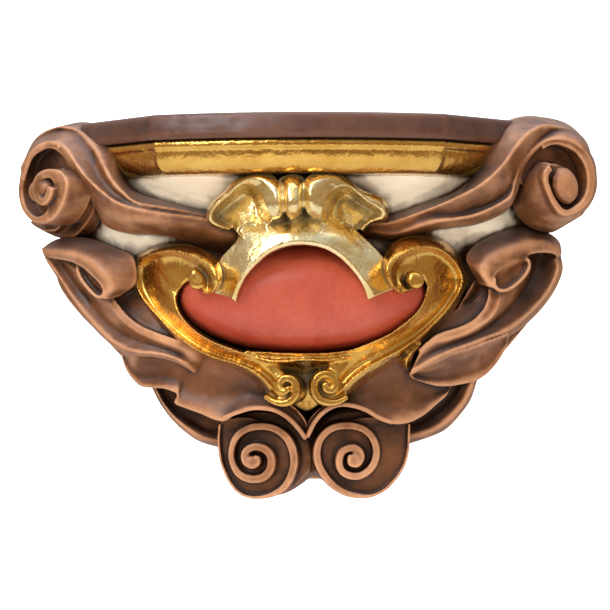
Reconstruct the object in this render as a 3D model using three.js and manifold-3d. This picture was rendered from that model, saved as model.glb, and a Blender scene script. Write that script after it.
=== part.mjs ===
// A baroque wall console carved from one block of wood: a top board on a gilded moulding,
// two S-shaped arms ending in corner volutes, rolled scrolls and leaves below them, twin
// volutes at the foot, and a gilded cartouche with a bow around a smooth cushion.
// Millimetres, +X right, +Y into the wall, +Z up. The origin lies on the flat back.
import * as THREE from 'three';
import { mergeVertices } from 'three/addons/utils/BufferGeometryUtils.js';
import Module from 'manifold-3d';

// Driving dimensions
const boardTop = 90;
const boardThickness = 12;
const boardHalfWidth = 112;
const boardCornerX = 70;
const boardCornerDepth = 138;
const boardSideDepth = 90;
const boardBow = 15;
const grooveHeight = 0.7;
const filletHeight = 3.3;
const filletSetback = 2.8;
const ovoloHeight = 12;
const ovoloSetback = 14;
const bodySideSetback = 1;
const bodyFrontSetback = 20;
const bodyFoot = -92;
const footRadius = 22;
const eyeRadius = 6;
const rimWidth = 3.2;
const recessDepth = 7;
const armFloor = 44;
const leafFloor = 40;
const hindLeafFloor = 18;
const scrollFloor = 70;
const cartoucheFloor = 90;
const smallestSolid = 1;

const wasm = await Module();
wasm.setup();

// The carving keeps its proportions as shares of the board that it carries
const carvingWidth = boardHalfWidth / 112;
const carvingDepth = boardCornerDepth / 138;
const carvingHeight = boardTop / 90;

// A point from its place across, its depth out of the wall and its height
const point = ([x, depth, z]) => new THREE.Vector3(x, -depth, z);
const carvedPoint = ([x, depth, z]) => point([x * carvingWidth, depth * carvingDepth, z * carvingHeight]);

// Closed surfaces

function solid(vertices, faces) {
  const geometry = new THREE.BufferGeometry();
  geometry.setAttribute('position', new THREE.Float32BufferAttribute(vertices.flatMap((v) => v.toArray()), 3));
  geometry.setIndex(faces.flat());
  const merged = mergeVertices(geometry, 1e-5);
  const positions = merged.attributes.position.array;
  let index = Array.from(merged.index.array);
  const kept = [];
  for (let i = 0; i < index.length; i += 3) {
    const [a, b, c] = index.slice(i, i + 3);
    if (a !== b && b !== c && a !== c) kept.push([a, b, c]);
  }
  if (signedVolume(positions, kept) < 0) kept.forEach((face) => face.reverse());
  index = kept.flat();
  return new wasm.Manifold(new wasm.Mesh({
    numProp: 3,
    vertProperties: Float32Array.from(positions),
    triVerts: Uint32Array.from(index),
  }));
}

function signedVolume(positions, faces) {
  const corner = (i) => new THREE.Vector3().fromArray(positions, 3 * i);
  return faces.reduce((sum, [a, b, c]) => sum + corner(a).dot(corner(b).cross(corner(c))) / 6, 0);
}

// Joins rings of equal length into a closed skin, with a fan at each end
function loft(rings) {
  const count = rings[0].length;
  const vertices = rings.flat();
  const faces = [];
  for (let i = 0; i + 1 < rings.length; i += 1) {
    for (let j = 0; j < count; j += 1) {
      const next = (j + 1) % count;
      const [a, b, c, d] = [i * count + j, (i + 1) * count + j, (i + 1) * count + next, i * count + next];
      faces.push([a, b, c], [a, c, d]);
    }
  }
  const fan = (ring, start, flip) => {
    const middle = ring.reduce((sum, v) => sum.add(v), new THREE.Vector3()).divideScalar(count);
    vertices.push(middle);
    for (let j = 0; j < count; j += 1) {
      const face = [vertices.length - 1, start + j, start + ((j + 1) % count)];
      faces.push(flip ? face.reverse() : face);
    }
  };
  fan(rings[0], 0, false);
  fan(rings[rings.length - 1], (rings.length - 1) * count, true);
  return solid(vertices, faces);
}

// A smooth line through control points, sampled evenly between them
function rail(points, steps) {
  const curve = new THREE.CatmullRomCurve3(points.map(carvedPoint), false, 'catmullrom', 0.5);
  return Array.from({ length: steps + 1 }, (_, i) => curve.getPoint(i / steps));
}

// A carved surface between rails, solid behind down to one depth out of the wall
function relief(rails, steps, floor) {
  const lines = rails.map((points) => rail(points, steps));
  const rings = lines[0].map((_, i) => {
    const front = lines.map((line) => line[i]);
    const behind = front.map((v) => new THREE.Vector3(v.x, -floor * carvingDepth, v.z)).reverse();
    return [...front, ...behind];
  });
  return loft(rings);
}

// Rails between two edges, hollowed by sink in the middle of the span
function hollowed(edgeA, edgeB, shares) {
  return shares.map(([share, sink]) => edgeA.map((a, i) => {
    const b = edgeB[i];
    const mix = a.map((value, axis) => value + (b[axis] - value) * share);
    return [mix[0], mix[1] - sink, mix[2]];
  }));
}

// A rounded fold along a curve, radii given at the control points, solid down to one depth
function fold(points, radii, steps, sides, floor) {
  const curve = new THREE.CatmullRomCurve3(points.map(carvedPoint), false, 'catmullrom', 0.5);
  const rings = [];
  for (let i = 0; i <= steps; i += 1) {
    const t = i / steps;
    const middle = curve.getPoint(t);
    const across = curve.getTangent(t).cross(new THREE.Vector3(0, 1, 0)).normalize();
    const place = t * (radii.length - 1);
    const low = Math.min(Math.floor(place), radii.length - 2);
    const radius = carvingHeight * THREE.MathUtils.lerp(radii[low], radii[low + 1], place - low);
    const front = Array.from({ length: sides + 1 }, (_, j) => {
      const angle = (Math.PI * j) / sides;
      return middle.clone()
        .addScaledVector(across, radius * Math.cos(angle))
        .add(new THREE.Vector3(0, -radius * Math.sin(angle), 0));
    });
    const behind = [front[sides], front[0]].map((v) => new THREE.Vector3(v.x, -floor * carvingDepth, v.z));
    rings.push([...front, ...behind]);
  }
  return loft(rings);
}

// A rolled-up ribbon: a drum whose outline follows the outer turn, and a spiral rim
// standing on its face. Angles run from the side nearest the middle, over the top.
function volute({ centre, turn, hand, start, turns, radius, barrel = radius, length, flare, rise = 4,
  face = rimWidth, recess = recessDepth, sides = 16 }) {
  const middle = carvedPoint(centre);
  const yaw = THREE.MathUtils.degToRad(turn);
  const axis = new THREE.Vector3(Math.sin(yaw), -Math.cos(yaw), 0);
  const side = new THREE.Vector3(0, 0, 1).cross(axis).normalize().multiplyScalar(hand);
  const up = axis.clone().cross(side).multiplyScalar(hand);
  const place = (angle, reach, along) => middle.clone()
    .addScaledVector(side, carvingWidth * reach * Math.cos(angle))
    .addScaledVector(up, carvingHeight * reach * Math.sin(angle))
    .addScaledVector(axis, carvingDepth * along);
  const begin = THREE.MathUtils.degToRad(start);
  const spoke = 2 * Math.PI;

  const drum = flare.map(([share, extra], level) => {
    const along = level === 0 ? -recess : -recess - share * (length - recess);
    return Array.from({ length: sides }, (_, j) => {
      const t = j / sides;
      return place(begin + t * spoke, barrel(t) - (level === 0 ? face / 2 : 0) + extra, along);
    });
  });

  const steps = Math.round(turns * (sides - 4));
  const rim = [];
  for (let i = 0; i <= steps; i += 1) {
    const t = (turns * i) / steps;
    const angle = begin + t * spoke;
    const outer = radius(t);
    const width = Math.min(face, outer * 0.62);
    const height = rise * t;
    rim.push([
      place(angle, outer, height),
      place(angle, outer - width, height),
      place(angle, outer - width, -recess - 3),
      place(angle, outer + 0.4, -recess - 3),
    ]);
  }
  const cone = [[-recess - 2, radius(0.6)], [-recess + 2 * rise * 0.3, radius(1.1) + 0.5], [rise * turns - 2.5, 1.5]];
  const hub = cone.map(([along, reach]) => Array.from({ length: 8 }, (_, j) => place((spoke * j) / 8, reach, along)));
  return [loft(drum), loft(rim), loft(hub)];
}

// Top board, gilded fillet and ovolo

// Half of the board's front line, from the wall to the middle, drawn in by a setback
function boardOutline(setback) {
  const front = boardCornerDepth - setback;
  const line = [
    [-boardHalfWidth + setback, 0],
    [-boardHalfWidth + setback, boardSideDepth - setback / 2],
    [-boardCornerX + setback / 2, front],
    [-boardCornerX / 2, front + boardBow * 0.72],
    [0, front + boardBow],
  ];
  const mirrored = line.slice(0, -1).reverse().map(([x, depth]) => [-x, depth]);
  return [...line, ...mirrored];
}

const level = (setback, z) => boardOutline(setback).map(([x, depth]) => point([x, depth, z]));

function board() {
  const under = boardTop - boardThickness;
  return loft([level(0.8, under), level(0, under + 1), level(0, boardTop - 1), level(0.8, boardTop)]);
}

function moulding() {
  const filletTop = boardTop - boardThickness - grooveHeight;
  const filletFoot = filletTop - filletHeight;
  const levels = [
    level(filletSetback + 2, filletTop + grooveHeight + 0.5),
    level(filletSetback + 2, filletTop),
    level(filletSetback, filletTop - 0.2),
    level(filletSetback, filletFoot),
    level(filletSetback + 1.6, filletFoot - 0.3),
  ];
  for (let i = 1; i <= 4; i += 1) {
    const angle = (Math.PI / 2) * (i / 4);
    const setback = filletSetback + 1.6 + (ovoloSetback - filletSetback - 1.6) * (1 - Math.cos(angle));
    levels.push(level(setback, filletFoot - 0.3 - (ovoloHeight - 0.3) * Math.sin(angle)));
  }
  return loft(levels);
}

// The bell-shaped body behind the carving, flat at the wall

const bodyLevels = [
  [74, 1, 1], [62, 1, 1], [50, 0.965, 0.93], [36, 0.92, 0.88], [20, 0.87, 0.86], [0, 0.79, 0.83],
  [-20, 0.68, 0.75], [-40, 0.56, 0.62], [-60, 0.44, 0.44], [-78, 0.32, 0.27], [bodyFoot, 0.2, 0.12],
];

function body() {
  const sides = 14;
  const halfWidth = boardHalfWidth - bodySideSetback;
  const topDepth = boardCornerDepth - bodyFrontSetback;
  const rings = bodyLevels.map(([z, width, depth]) => {
    const squareness = THREE.MathUtils.lerp(2, 3.2, THREE.MathUtils.clamp((z + 60) / 120, 0, 1));
    const front = Array.from({ length: sides + 1 }, (_, j) => {
      const angle = Math.PI * (1 - j / sides);
      const across = Math.sign(Math.cos(angle)) * Math.abs(Math.cos(angle)) ** (2 / squareness);
      const out = Math.abs(Math.sin(angle)) ** (2 / squareness);
      return point([halfWidth * width * across, topDepth * depth * out, z * carvingHeight]);
    });
    return front;
  });
  return loft(rings);
}

// Arms: rails from the bow outwards, over the corner volute

const leftArm = [
  // lower edge
  [[-38, 112, 25], [-50, 111, 29], [-68, 109, 34], [-85, 105, 35], [-97, 100, 39], [-102, 100, 48],
    [-108, 104, 57], [-113, 104, 65], [-117, 101, 72], [-123, 96, 77], [-129, 90, 77], [-136, 83, 73], [-141, 77, 62]],
  // rounded bead
  [[-32, 122, 31], [-48, 121, 36], [-65, 121, 39], [-82, 119, 40], [-93, 114, 44], [-100, 108, 51],
    [-105, 110, 59], [-111, 108, 66], [-116, 104, 73], [-122, 97, 79], [-130, 91, 79], [-137, 83, 75], [-142, 77, 63]],
  // front ridge
  [[-32, 124, 38], [-48, 124, 42], [-64, 124, 44], [-77, 123, 46], [-87, 122, 49], [-95, 120, 54],
    [-103, 117, 61], [-109, 113, 68], [-114, 108, 75], [-121, 99, 80], [-130, 91, 80], [-137, 83, 76], [-143, 77, 63]],
  // flute
  [[-33, 122, 40], [-48, 122, 43], [-64, 122, 45], [-78, 121, 48], [-88, 117, 52], [-94, 114, 57],
    [-100, 109, 65], [-104, 104, 73], [-110, 97, 80], [-117, 87, 86], [-128, 78, 86], [-139, 71, 80], [-145, 65, 66]],
  // back ridge
  [[-34, 123, 41], [-49, 123, 44], [-65, 123, 47], [-78, 122, 49], [-85, 119, 54], [-91, 116, 60],
    [-96, 112, 68], [-100, 107, 75], [-105, 100, 81], [-113, 90, 87], [-125, 80, 89], [-137, 70, 84], [-146, 62, 70]],
  // upper edge
  [[-35, 113, 45], [-51, 112, 47], [-68, 111, 51], [-81, 109, 55], [-87, 106, 62], [-90, 105, 71],
    [-93, 102, 79], [-97, 97, 84], [-102, 88, 89], [-110, 76, 92], [-120, 64, 92], [-133, 54, 88], [-142, 48, 78]],
];

const rightArm = [
  // lower edge
  [[34, 112, 32], [45, 111, 31], [62, 109, 36], [75, 107, 38], [86, 104, 40], [96, 101, 44], [102, 100, 49],
    [105, 102, 56], [107, 103, 65], [112, 102, 73], [119, 100, 79], [126, 97, 80], [133, 92, 78], [139, 87, 72], [142, 85, 62]],
  // lower bead
  [[34, 120, 35], [45, 119, 34], [62, 119, 39], [75, 118, 41], [84, 116, 43], [93, 113, 47], [101, 110, 52],
    [103, 108, 59], [106, 106, 67], [112, 104, 75], [119, 101, 80], [127, 98, 81], [134, 93, 79], [140, 88, 72], [143, 86, 62]],
  // flute
  [[34, 121, 37], [45, 120, 36], [62, 118, 43], [74, 116, 44], [83, 113, 46], [93, 110, 50], [100, 108, 56],
    [103, 107, 63], [107, 106, 70], [113, 103, 78], [120, 98, 83], [128, 94, 84], [137, 88, 80], [143, 82, 72], [146, 78, 62]],
  // upper ridge
  [[34, 123, 39], [44, 123, 40], [62, 123, 46], [74, 123, 51], [84, 122, 56], [91, 120, 61], [98, 118, 68],
    [103, 115, 75], [109, 111, 82], [117, 103, 87], [126, 93, 87], [133, 84, 86], [140, 76, 81], [144, 70, 71], [147, 66, 62]],
  // upper edge
  [[34, 112, 43], [43, 112, 44], [62, 111, 50], [73, 110, 54], [81, 108, 60], [86, 107, 67], [89, 106, 75],
    [92, 104, 82], [98, 98, 89], [109, 88, 93], [121, 76, 93], [131, 66, 91], [139, 58, 85], [143, 52, 76], [144, 50, 66]],
];

// Rolled scrolls under the arms: outer edge at the mouth, inner edge at the body

const leftRollEdges = [
  [[-100, 96, 4], [-97, 100, 3], [-95, 103, 7], [-100, 104, 13], [-107, 100, 18], [-113, 94, 22], [-122, 84, 25],
    [-130, 72, 26], [-133, 62, 24], [-130, 58, 18], [-120, 56, 4], [-108, 56, -12], [-100, 60, -20], [-90, 70, -24],
    [-76, 84, -25], [-64, 92, -28]],
  [[-90, 80, 8], [-86, 82, 9], [-84, 84, 13], [-84, 86, 21], [-89, 82, 26], [-98, 76, 29], [-109, 66, 33],
    [-121, 54, 34], [-129, 44, 30], [-114, 50, 22], [-101, 74, 9], [-94, 87, 1], [-87, 93, -8], [-77, 97, -13],
    [-64, 101, -17], [-56, 104, -23]],
];

const rightRollEdges = [
  [[101, 96, 6], [98, 100, 6], [94, 102, 12], [95, 103, 17], [100, 101, 21], [107, 95, 24], [117, 86, 25],
    [125, 75, 25], [129, 66, 22], [129, 62, 15], [123, 60, 3], [114, 60, -6], [103, 63, -15], [94, 72, -19],
    [82, 84, -22], [70, 94, -26]],
  [[91, 80, 9], [87, 84, 11], [82, 85, 16], [81, 86, 23], [86, 83, 29], [96, 76, 35], [109, 67, 40],
    [121, 56, 39], [127, 48, 34], [116, 52, 22], [100, 74, 10], [94, 88, 0], [87, 94, -7], [77, 98, -14],
    [67, 102, -18], [60, 105, -21]],
];

// A ribbon with both faces modelled, thickened on its inner side
function ribbon(edges, { steps, thickness, bulge, towards }) {
  const shares = [0, 0.33, 0.67, 1];
  const lines = edges.map((points) => rail(points, steps));
  const grid = lines[0].map((a, i) => shares.map((share) => a.clone().lerp(lines[1][i], share)));
  const normals = grid.map((row, i) => row.map((_, j) => {
    const along = grid[Math.min(i + 1, steps)][j].clone().sub(grid[Math.max(i - 1, 0)][j]);
    const across = row[Math.min(j + 1, 3)].clone().sub(row[Math.max(j - 1, 0)]);
    return along.cross(across).normalize().multiplyScalar(towards);
  }));
  const outer = grid.map((row, i) => row.map((v, j) => {
    const share = shares[j];
    return v.clone().addScaledVector(normals[i][j], -bulge(i / steps) * 4 * share * (1 - share));
  }));
  const rings = outer.map((row, i) => {
    const inner = row.map((v, j) => v.clone().addScaledVector(normals[i][j], thickness));
    return [...row, ...inner.reverse()];
  });
  return loft(rings);
}

// Leaves between the rolls and the foot: free edge and upper edge under the gilding

const leftLeafEdges = [
  [[-93, 66, -26], [-90, 66, -34], [-83, 68, -41], [-76, 72, -42], [-68, 76, -43], [-64, 78, -47], [-57, 80, -53],
    [-48, 83, -56], [-40, 86, -58], [-33, 93, -53], [-23, 98, -50], [-15, 97, -51], [-8, 93, -56], [-3, 88, -62], [1, 82, -67]],
  [[-90, 74, -22], [-79, 86, -25], [-68, 94, -27], [-58, 98, -28], [-50, 102, -27], [-42, 104, -29], [-35, 105, -32],
    [-29, 105, -35], [-24, 105, -38], [-19, 105, -42], [-13, 105, -46], [-8, 104, -48], [-3, 100, -48], [0, 97, -48], [2, 95, -48]],
];

const rightLeafEdges = [
  [[102, 64, -17], [97, 66, -27], [92, 68, -34], [85, 72, -38], [75, 76, -40], [71, 78, -43], [68, 80, -48],
    [60, 82, -53], [53, 85, -58], [45, 88, -59], [37, 93, -56], [28, 98, -51], [20, 98, -49], [12, 94, -52], [6, 87, -58], [1, 82, -67]],
  [[97, 74, -15], [86, 86, -20], [75, 94, -24], [65, 98, -28], [57, 101, -30], [50, 103, -33], [44, 104, -34],
    [37, 105, -36], [31, 105, -40], [26, 105, -44], [22, 105, -47], [18, 104, -49], [14, 103, -49], [10, 100, -48], [6, 97, -48], [2, 95, -48]],
];

const leafShares = [[0, 0], [0.1, 0.5], [0.35, 6], [0.7, 7], [1, 0]];

const flankShares = [[0, 0], [0.4, 4], [1, 0]];

const leftHindLeaf = [
  [[-80, 52, -40], [-74, 50, -53], [-66, 48, -63], [-57, 46, -70], [-46, 46, -72], [-38, 50, -73]],
  [[-66, 58, -38], [-58, 60, -46], [-50, 62, -52], [-42, 64, -57], [-36, 64, -60], [-30, 60, -62]],
];

const rightHindLeaf = [
  [[86, 52, -38], [83, 50, -49], [77, 48, -58], [67, 46, -66], [53, 46, -70], [44, 50, -71]],
  [[68, 58, -36], [64, 60, -44], [58, 62, -50], [50, 64, -55], [42, 64, -60], [34, 60, -62]],
];

// The flanks that carry the rolls and run back to the wall: outer edge and edge at the body
const leftFlank = [
  [[-131, 50, 24], [-128, 50, 10], [-118, 50, -4], [-106, 50, -16], [-94, 52, -28], [-84, 54, -38]],
  [[-92, 76, 32], [-85, 84, 16], [-78, 88, 2], [-70, 88, -10], [-62, 86, -22], [-56, 84, -34]],
];
const rightFlank = [
  [[127, 50, 24], [126, 50, 10], [118, 50, -2], [110, 50, -12], [98, 52, -26], [88, 54, -36]],
  [[92, 76, 32], [86, 84, 16], [78, 88, 2], [70, 88, -10], [62, 86, -22], [56, 84, -34]],
];

// Gilded scrolls: inner edge at the cushion, ridge, and outer roll

const leftScroll = {
  inner: [[-2, 118, -33], [-12, 121, -27], [-24, 122, -23], [-32, 122, -21], [-42, 121, -17], [-50, 119, -13],
    [-56, 117, -8], [-59, 115, -2], [-59, 115, 2], [-57, 116, 5], [-55, 117, 7], [-53, 118, 9], [-51, 119, 10.5],
    [-50, 120, 11.5], [-49, 121, 12], [-48, 122, 12], [-47.3, 122, 11.5], [-47.3, 122, 10.5], [-47.8, 122, 9.6]],
  ridge: [[-10, 112, -47], [-18, 110, -42], [-24, 109, -36], [-32, 108, -31], [-43, 107, -27], [-55, 105, -22],
    [-66, 103, -14], [-76, 101, -2], [-81, 101, 8], [-82, 103, 17], [-77, 108, 23], [-70, 114, 26], [-60, 121, 27],
    [-53, 127, 24], [-46, 131, 19], [-42, 132, 13], [-41, 131, 8], [-44, 129, 5], [-48, 128, 6]],
  outer: [[-9, 98, -48], [-17, 96, -43], [-23, 95, -37], [-32, 94, -32], [-44, 92, -28], [-56, 90, -23],
    [-67, 88, -15], [-77, 86, -3], [-82, 86, 8], [-83, 88, 18], [-77, 98, 27], [-69, 102, 30], [-60, 106, 30],
    [-51, 110, 28], [-43, 113, 24], [-39, 114, 19], [-38, 114, 14], [-40, 112, 8], [-43, 112, 4]],
};

const rightScroll = {
  inner: [[7, 118, -32], [15, 121, -27], [24, 122, -23], [34, 122, -20], [43, 121, -16], [49, 119, -11],
    [54, 117, -7], [57, 115, -1], [58, 115, 3], [57, 116, 7], [55.5, 117, 9], [54.5, 118, 11], [53.6, 119, 12],
    [52.6, 120, 13], [51.7, 121, 13.4], [51.2, 122, 13.4], [50.7, 122, 13], [50.7, 122, 12], [51.2, 122, 11]],
  ridge: [[14, 112, -48], [21, 110, -44], [28, 109, -39], [37, 108, -32], [46, 107, -28], [55, 105, -22],
    [64, 103, -14], [71, 101, -5], [77, 101, 3], [80, 102, 12], [78, 104, 20], [73, 107, 26], [66, 112, 29],
    [58, 120, 29], [52, 127, 25], [47, 131, 21], [45, 132, 16], [46, 131, 10], [50, 129, 8]],
  outer: [[13, 98, -49], [20, 96, -45], [28, 95, -40], [37, 94, -33], [47, 92, -29], [56, 90, -23],
    [65, 88, -15], [72, 86, -6], [78, 86, 3], [81, 87, 12], [79, 95, 21], [75, 98, 27], [68, 102, 32],
    [60, 106, 34], [52, 110, 34], [44, 113, 31], [40, 114, 26], [40, 113, 19], [42, 112, 13]],
};

function scroll({ inner, ridge, outer }) {
  const bed = hollowed(inner, ridge, [[0, 0], [0.12, -0.5], [0.45, 6], [0.8, 4], [1, 0]]);
  return relief([...bed, outer], 18, scrollFloor);
}

// The arch over the cushion, from the left foot to the right

const archInner = [
  [-28, 134, 2], [-27, 135, 8], [-24, 136, 14], [-19, 136, 19], [-12, 137, 24], [-4, 137, 28],
  [4, 137, 28], [12, 137, 26], [20, 136, 22], [26, 136, 16], [30, 135, 10], [33, 134, 3],
];
const archOuter = [
  [-41, 128, 5], [-37, 128, 11], [-36, 126, 18], [-34, 126, 24], [-28, 127, 31], [-17, 130, 37],
  [1, 134, 40], [17, 130, 37], [30, 127, 33], [37, 126, 26], [40, 127, 18], [46, 128, 8],
];

// The bow: an open loop at each side of a knot

const leftLoop = [
  [[-44, 121, 44], [-41, 125, 49], [-35, 129, 53], [-29, 133, 58], [-23, 137, 61], [-16, 140, 62], [-10, 142, 60]],
  [[-44, 120, 41], [-40, 121, 37], [-34, 122, 35], [-28, 124, 32], [-22, 126, 35], [-15, 130, 38], [-9, 133, 40]],
];
const rightLoop = [
  [[42, 122, 46], [39, 126, 50], [32, 130, 54], [26, 134, 57], [19, 138, 62], [11, 141, 63], [5, 142, 60]],
  [[41, 121, 41], [34, 122, 39], [29, 124, 34], [24, 126, 33], [18, 128, 36], [11, 131, 38], [3, 134, 40]],
];
const loopShares = [[0, 2], [0.1, 0], [0.35, 7], [0.65, 8], [1, 2]];

const knotSeat = [
  [[-11, 141, 61], [-2, 143, 62], [6, 141, 61]],
  [[-10, 136, 50], [-2, 140, 50], [5, 136, 50]],
  [[-10, 133, 38], [-2, 136, 38], [4, 134, 38]],
];

// The folds of the knot, with their radii: left, right and middle
const knotFolds = [
  [[[-27, 134, 58], [-20, 139, 57], [-15, 142, 53], [-12, 142, 47], [-11, 138, 41]], [1.5, 3.5, 5, 4.6, 3]],
  [[[20, 135, 60], [13, 139, 58], [8, 142, 53], [5, 142, 46], [7, 138, 40]], [1.5, 4, 5.6, 5, 3]],
  [[[-2, 138, 62], [-2, 142, 57], [-2, 144, 51], [-2, 143, 45], [-2, 137, 40]], [3, 5.5, 5.5, 5.5, 3]],
];

const cushion = { centre: [0.5, 102, 3.5], halfWidth: 61, rise: 27, depth: 27 };

// The gilded strip under the cushion, down to the two small volutes
const strip = [
  [[-29, 118, -23], [-14, 121, -24], [0, 121, -24], [13, 121, -24], [27, 118, -22]],
  [[-25, 118, -27], [-12, 120, -28], [0, 121, -27], [12, 120, -28], [23, 118, -26]],
  [[-22, 107, -30], [-10, 104, -34], [1, 103, -35], [12, 104, -34], [20, 107, -30]],
];

function dome({ centre, halfWidth, rise, depth }) {
  const rings = [];
  for (let i = 0; i <= 4; i += 1) {
    const angle = (Math.PI / 2) * (i / 4.4);
    rings.push(Array.from({ length: 20 }, (_, j) => {
      const turn = (2 * Math.PI * j) / 20;
      return carvedPoint([
        centre[0] + halfWidth * Math.cos(angle) * Math.cos(turn),
        centre[1] + depth * Math.sin(angle),
        centre[2] + rise * Math.cos(angle) * Math.sin(turn),
      ]);
    }));
  }
  const behind = rings[0].map((v) => v.clone().add(new THREE.Vector3(0, 14, 0)));
  return loft([behind, ...rings]);
}

// Assembly

const pieces = [
  board(),
  moulding(),
  body(),
  relief(leftArm, 14, armFloor),
  relief(rightArm, 15, armFloor),
  ...volute({
    centre: [-128.5, 92, 56], turn: -50, hand: 1, start: 75, turns: 2.2, radius: (t) => 26 * 0.403 ** t,
    length: 34, flare: [[0, 0], [0.3, 3], [0.6, 5], [1, 6]],
  }),
  ...volute({
    centre: [129, 95, 59], turn: 30, hand: -1, start: 75, turns: 1.9, radius: (t) => 22 * 0.5 ** t,
    length: 34, flare: [[0, 0], [0.4, 3], [0.8, 5], [1, 5]],
  }),
  ...volute({
    centre: [-22, 88, -76], turn: -5, hand: -1, start: 180, turns: 2.3, radius: (t) => 19.5 - 6.9 * t,
    barrel: () => footRadius, length: 60, flare: [[0, 0], [0.3, 0], [0.7, -1], [1, -4]],
  }),
  ...volute({
    centre: [25, 88, -76], turn: 5, hand: 1, start: 180, turns: 2.3, radius: (t) => 19.5 - 6.9 * t,
    barrel: () => footRadius, length: 60, flare: [[0, 0], [0.3, 0], [0.7, -1], [1, -4]],
  }),
  ribbon(leftRollEdges, { steps: 18, thickness: 4, bulge: () => 2, towards: 1 }),
  ribbon(rightRollEdges, { steps: 18, thickness: 4, bulge: () => 2, towards: -1 }),
  relief(hollowed(...leftFlank, flankShares), 8, 0),
  relief(hollowed(...rightFlank, flankShares), 8, 0),
  relief(hollowed(...leftLeafEdges, leafShares), 15, leafFloor),
  relief(hollowed(...rightLeafEdges, leafShares), 15, leafFloor),
  relief(hollowed(...leftHindLeaf, [[0, 0], [0.25, 2], [1, 4]]), 10, hindLeafFloor),
  relief(hollowed(...rightHindLeaf, [[0, 0], [0.25, 2], [1, 4]]), 10, hindLeafFloor),
  scroll(leftScroll),
  scroll(rightScroll),
  relief(hollowed(archInner, archOuter, [[0, 0], [0.12, -0.5], [0.5, 5], [0.85, 3], [1, 0]]), 14, cartoucheFloor),
  relief(hollowed(...leftLoop, loopShares), 10, cartoucheFloor),
  relief(hollowed(...rightLoop, loopShares), 10, cartoucheFloor),
  ...knotFolds.map(([line, radii]) => fold(line, radii, 8, 5, cartoucheFloor)),
  relief(knotSeat, 6, cartoucheFloor),
  dome(cushion),
  relief(strip, 8, cartoucheFloor - 10),
  ...[[-9.5, -1, -8], [12, 1, 8]].flatMap(([x, hand, turn]) => volute({
    centre: [x, 118, -40], turn, hand, start: 240, turns: 1.3, radius: (t) => eyeRadius - 2.6 * t,
    length: 22, flare: [[0, 0], [0.5, 1], [1, 1]], rise: 1.5, face: eyeRadius / 2.4, recess: eyeRadius / 2, sides: 12,
  })),
];

// The joined wood is solid throughout, so only its outer skin is kept, without cutting dust
function skin(joined) {
  const mesh = joined.getMesh();
  const owner = Array.from({ length: mesh.vertProperties.length / 3 }, (_, i) => i);
  const find = (i) => {
    let at = i;
    while (owner[at] !== at) at = owner[at];
    return at;
  };
  const faces = [];
  for (let i = 0; i < mesh.triVerts.length; i += 3) faces.push(Array.from(mesh.triVerts.slice(i, i + 3)));
  faces.forEach(([a, b, c]) => {
    owner[find(b)] = find(a);
    owner[find(c)] = find(a);
  });
  const shells = new Map();
  faces.forEach((face) => {
    const key = find(face[0]);
    shells.set(key, [...(shells.get(key) ?? []), face]);
  });
  const outer = [...shells.values()].filter((shell) => signedVolume(mesh.vertProperties, shell) > smallestSolid);
  const geometry = new THREE.BufferGeometry();
  geometry.setAttribute('position', new THREE.BufferAttribute(Float32Array.from(mesh.vertProperties), 3));
  geometry.setIndex(outer.flat(2));
  geometry.computeVertexNormals();
  return geometry;
}

const console3d = new THREE.Mesh(
  skin(pieces.reduce((sum, piece) => sum.add(piece))),
  new THREE.MeshStandardMaterial({ color: 0x8a5634, roughness: 0.5, metalness: 0 }),
);
console3d.name = 'carved_console';

const group = new THREE.Group();
group.add(console3d);
export default group;
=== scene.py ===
"""A carved, stained and gilded baroque wall console: fine forms and finishes over its solid."""
import math

import bpy
import numpy as np
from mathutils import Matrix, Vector


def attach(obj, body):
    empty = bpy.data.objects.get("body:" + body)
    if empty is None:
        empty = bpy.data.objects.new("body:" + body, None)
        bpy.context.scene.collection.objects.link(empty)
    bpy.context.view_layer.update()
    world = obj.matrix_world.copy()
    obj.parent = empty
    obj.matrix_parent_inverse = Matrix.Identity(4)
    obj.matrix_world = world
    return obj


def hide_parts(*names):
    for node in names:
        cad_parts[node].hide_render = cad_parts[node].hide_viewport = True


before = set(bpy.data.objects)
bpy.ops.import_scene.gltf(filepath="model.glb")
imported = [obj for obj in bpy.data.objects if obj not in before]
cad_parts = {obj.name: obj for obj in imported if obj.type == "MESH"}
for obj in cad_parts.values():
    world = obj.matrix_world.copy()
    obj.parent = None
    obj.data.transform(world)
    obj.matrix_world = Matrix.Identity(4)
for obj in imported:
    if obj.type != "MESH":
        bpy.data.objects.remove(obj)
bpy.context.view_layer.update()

# The photograph: its middle, and its scale where the camera's target lies
PICTURE_MIDDLE = 305
PIXELS_PER_MM = 2

# The camera, in millimetres: level with the middle and a little to its right
CAMERA_TURN = math.radians(3.0)
CAMERA_REACH = 1075.0
CAMERA_TARGET = (0.0, -75.0)
LENS = 126.9
CAMERA = (
    CAMERA_TARGET[0] + CAMERA_REACH * math.sin(CAMERA_TURN),
    CAMERA_TARGET[1] - CAMERA_REACH * math.cos(CAMERA_TURN),
)

# The board's front line and the body's widest level, in millimetres
BOARD_HALF_WIDTH = 112
BOARD_SIDE_DEPTH = 90
BOARD_CORNER = 70
BOARD_CORNER_DEPTH = 138
BOARD_BOW = 15
BODY_HALF_WIDTH = 111
BODY_DEPTH = 118

# The body's levels: height, then its width and depth as shares of the widest level
BODY_LEVELS = [(63.5, 1, 1), (62, 1, 1), (50, 0.965, 0.93), (36, 0.92, 0.88), (20, 0.87, 0.86),
    (0, 0.79, 0.83), (-20, 0.68, 0.75), (-40, 0.56, 0.62), (-60, 0.44, 0.44), (-78, 0.32, 0.27),
    (-92, 0.2, 0.12)]

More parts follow.
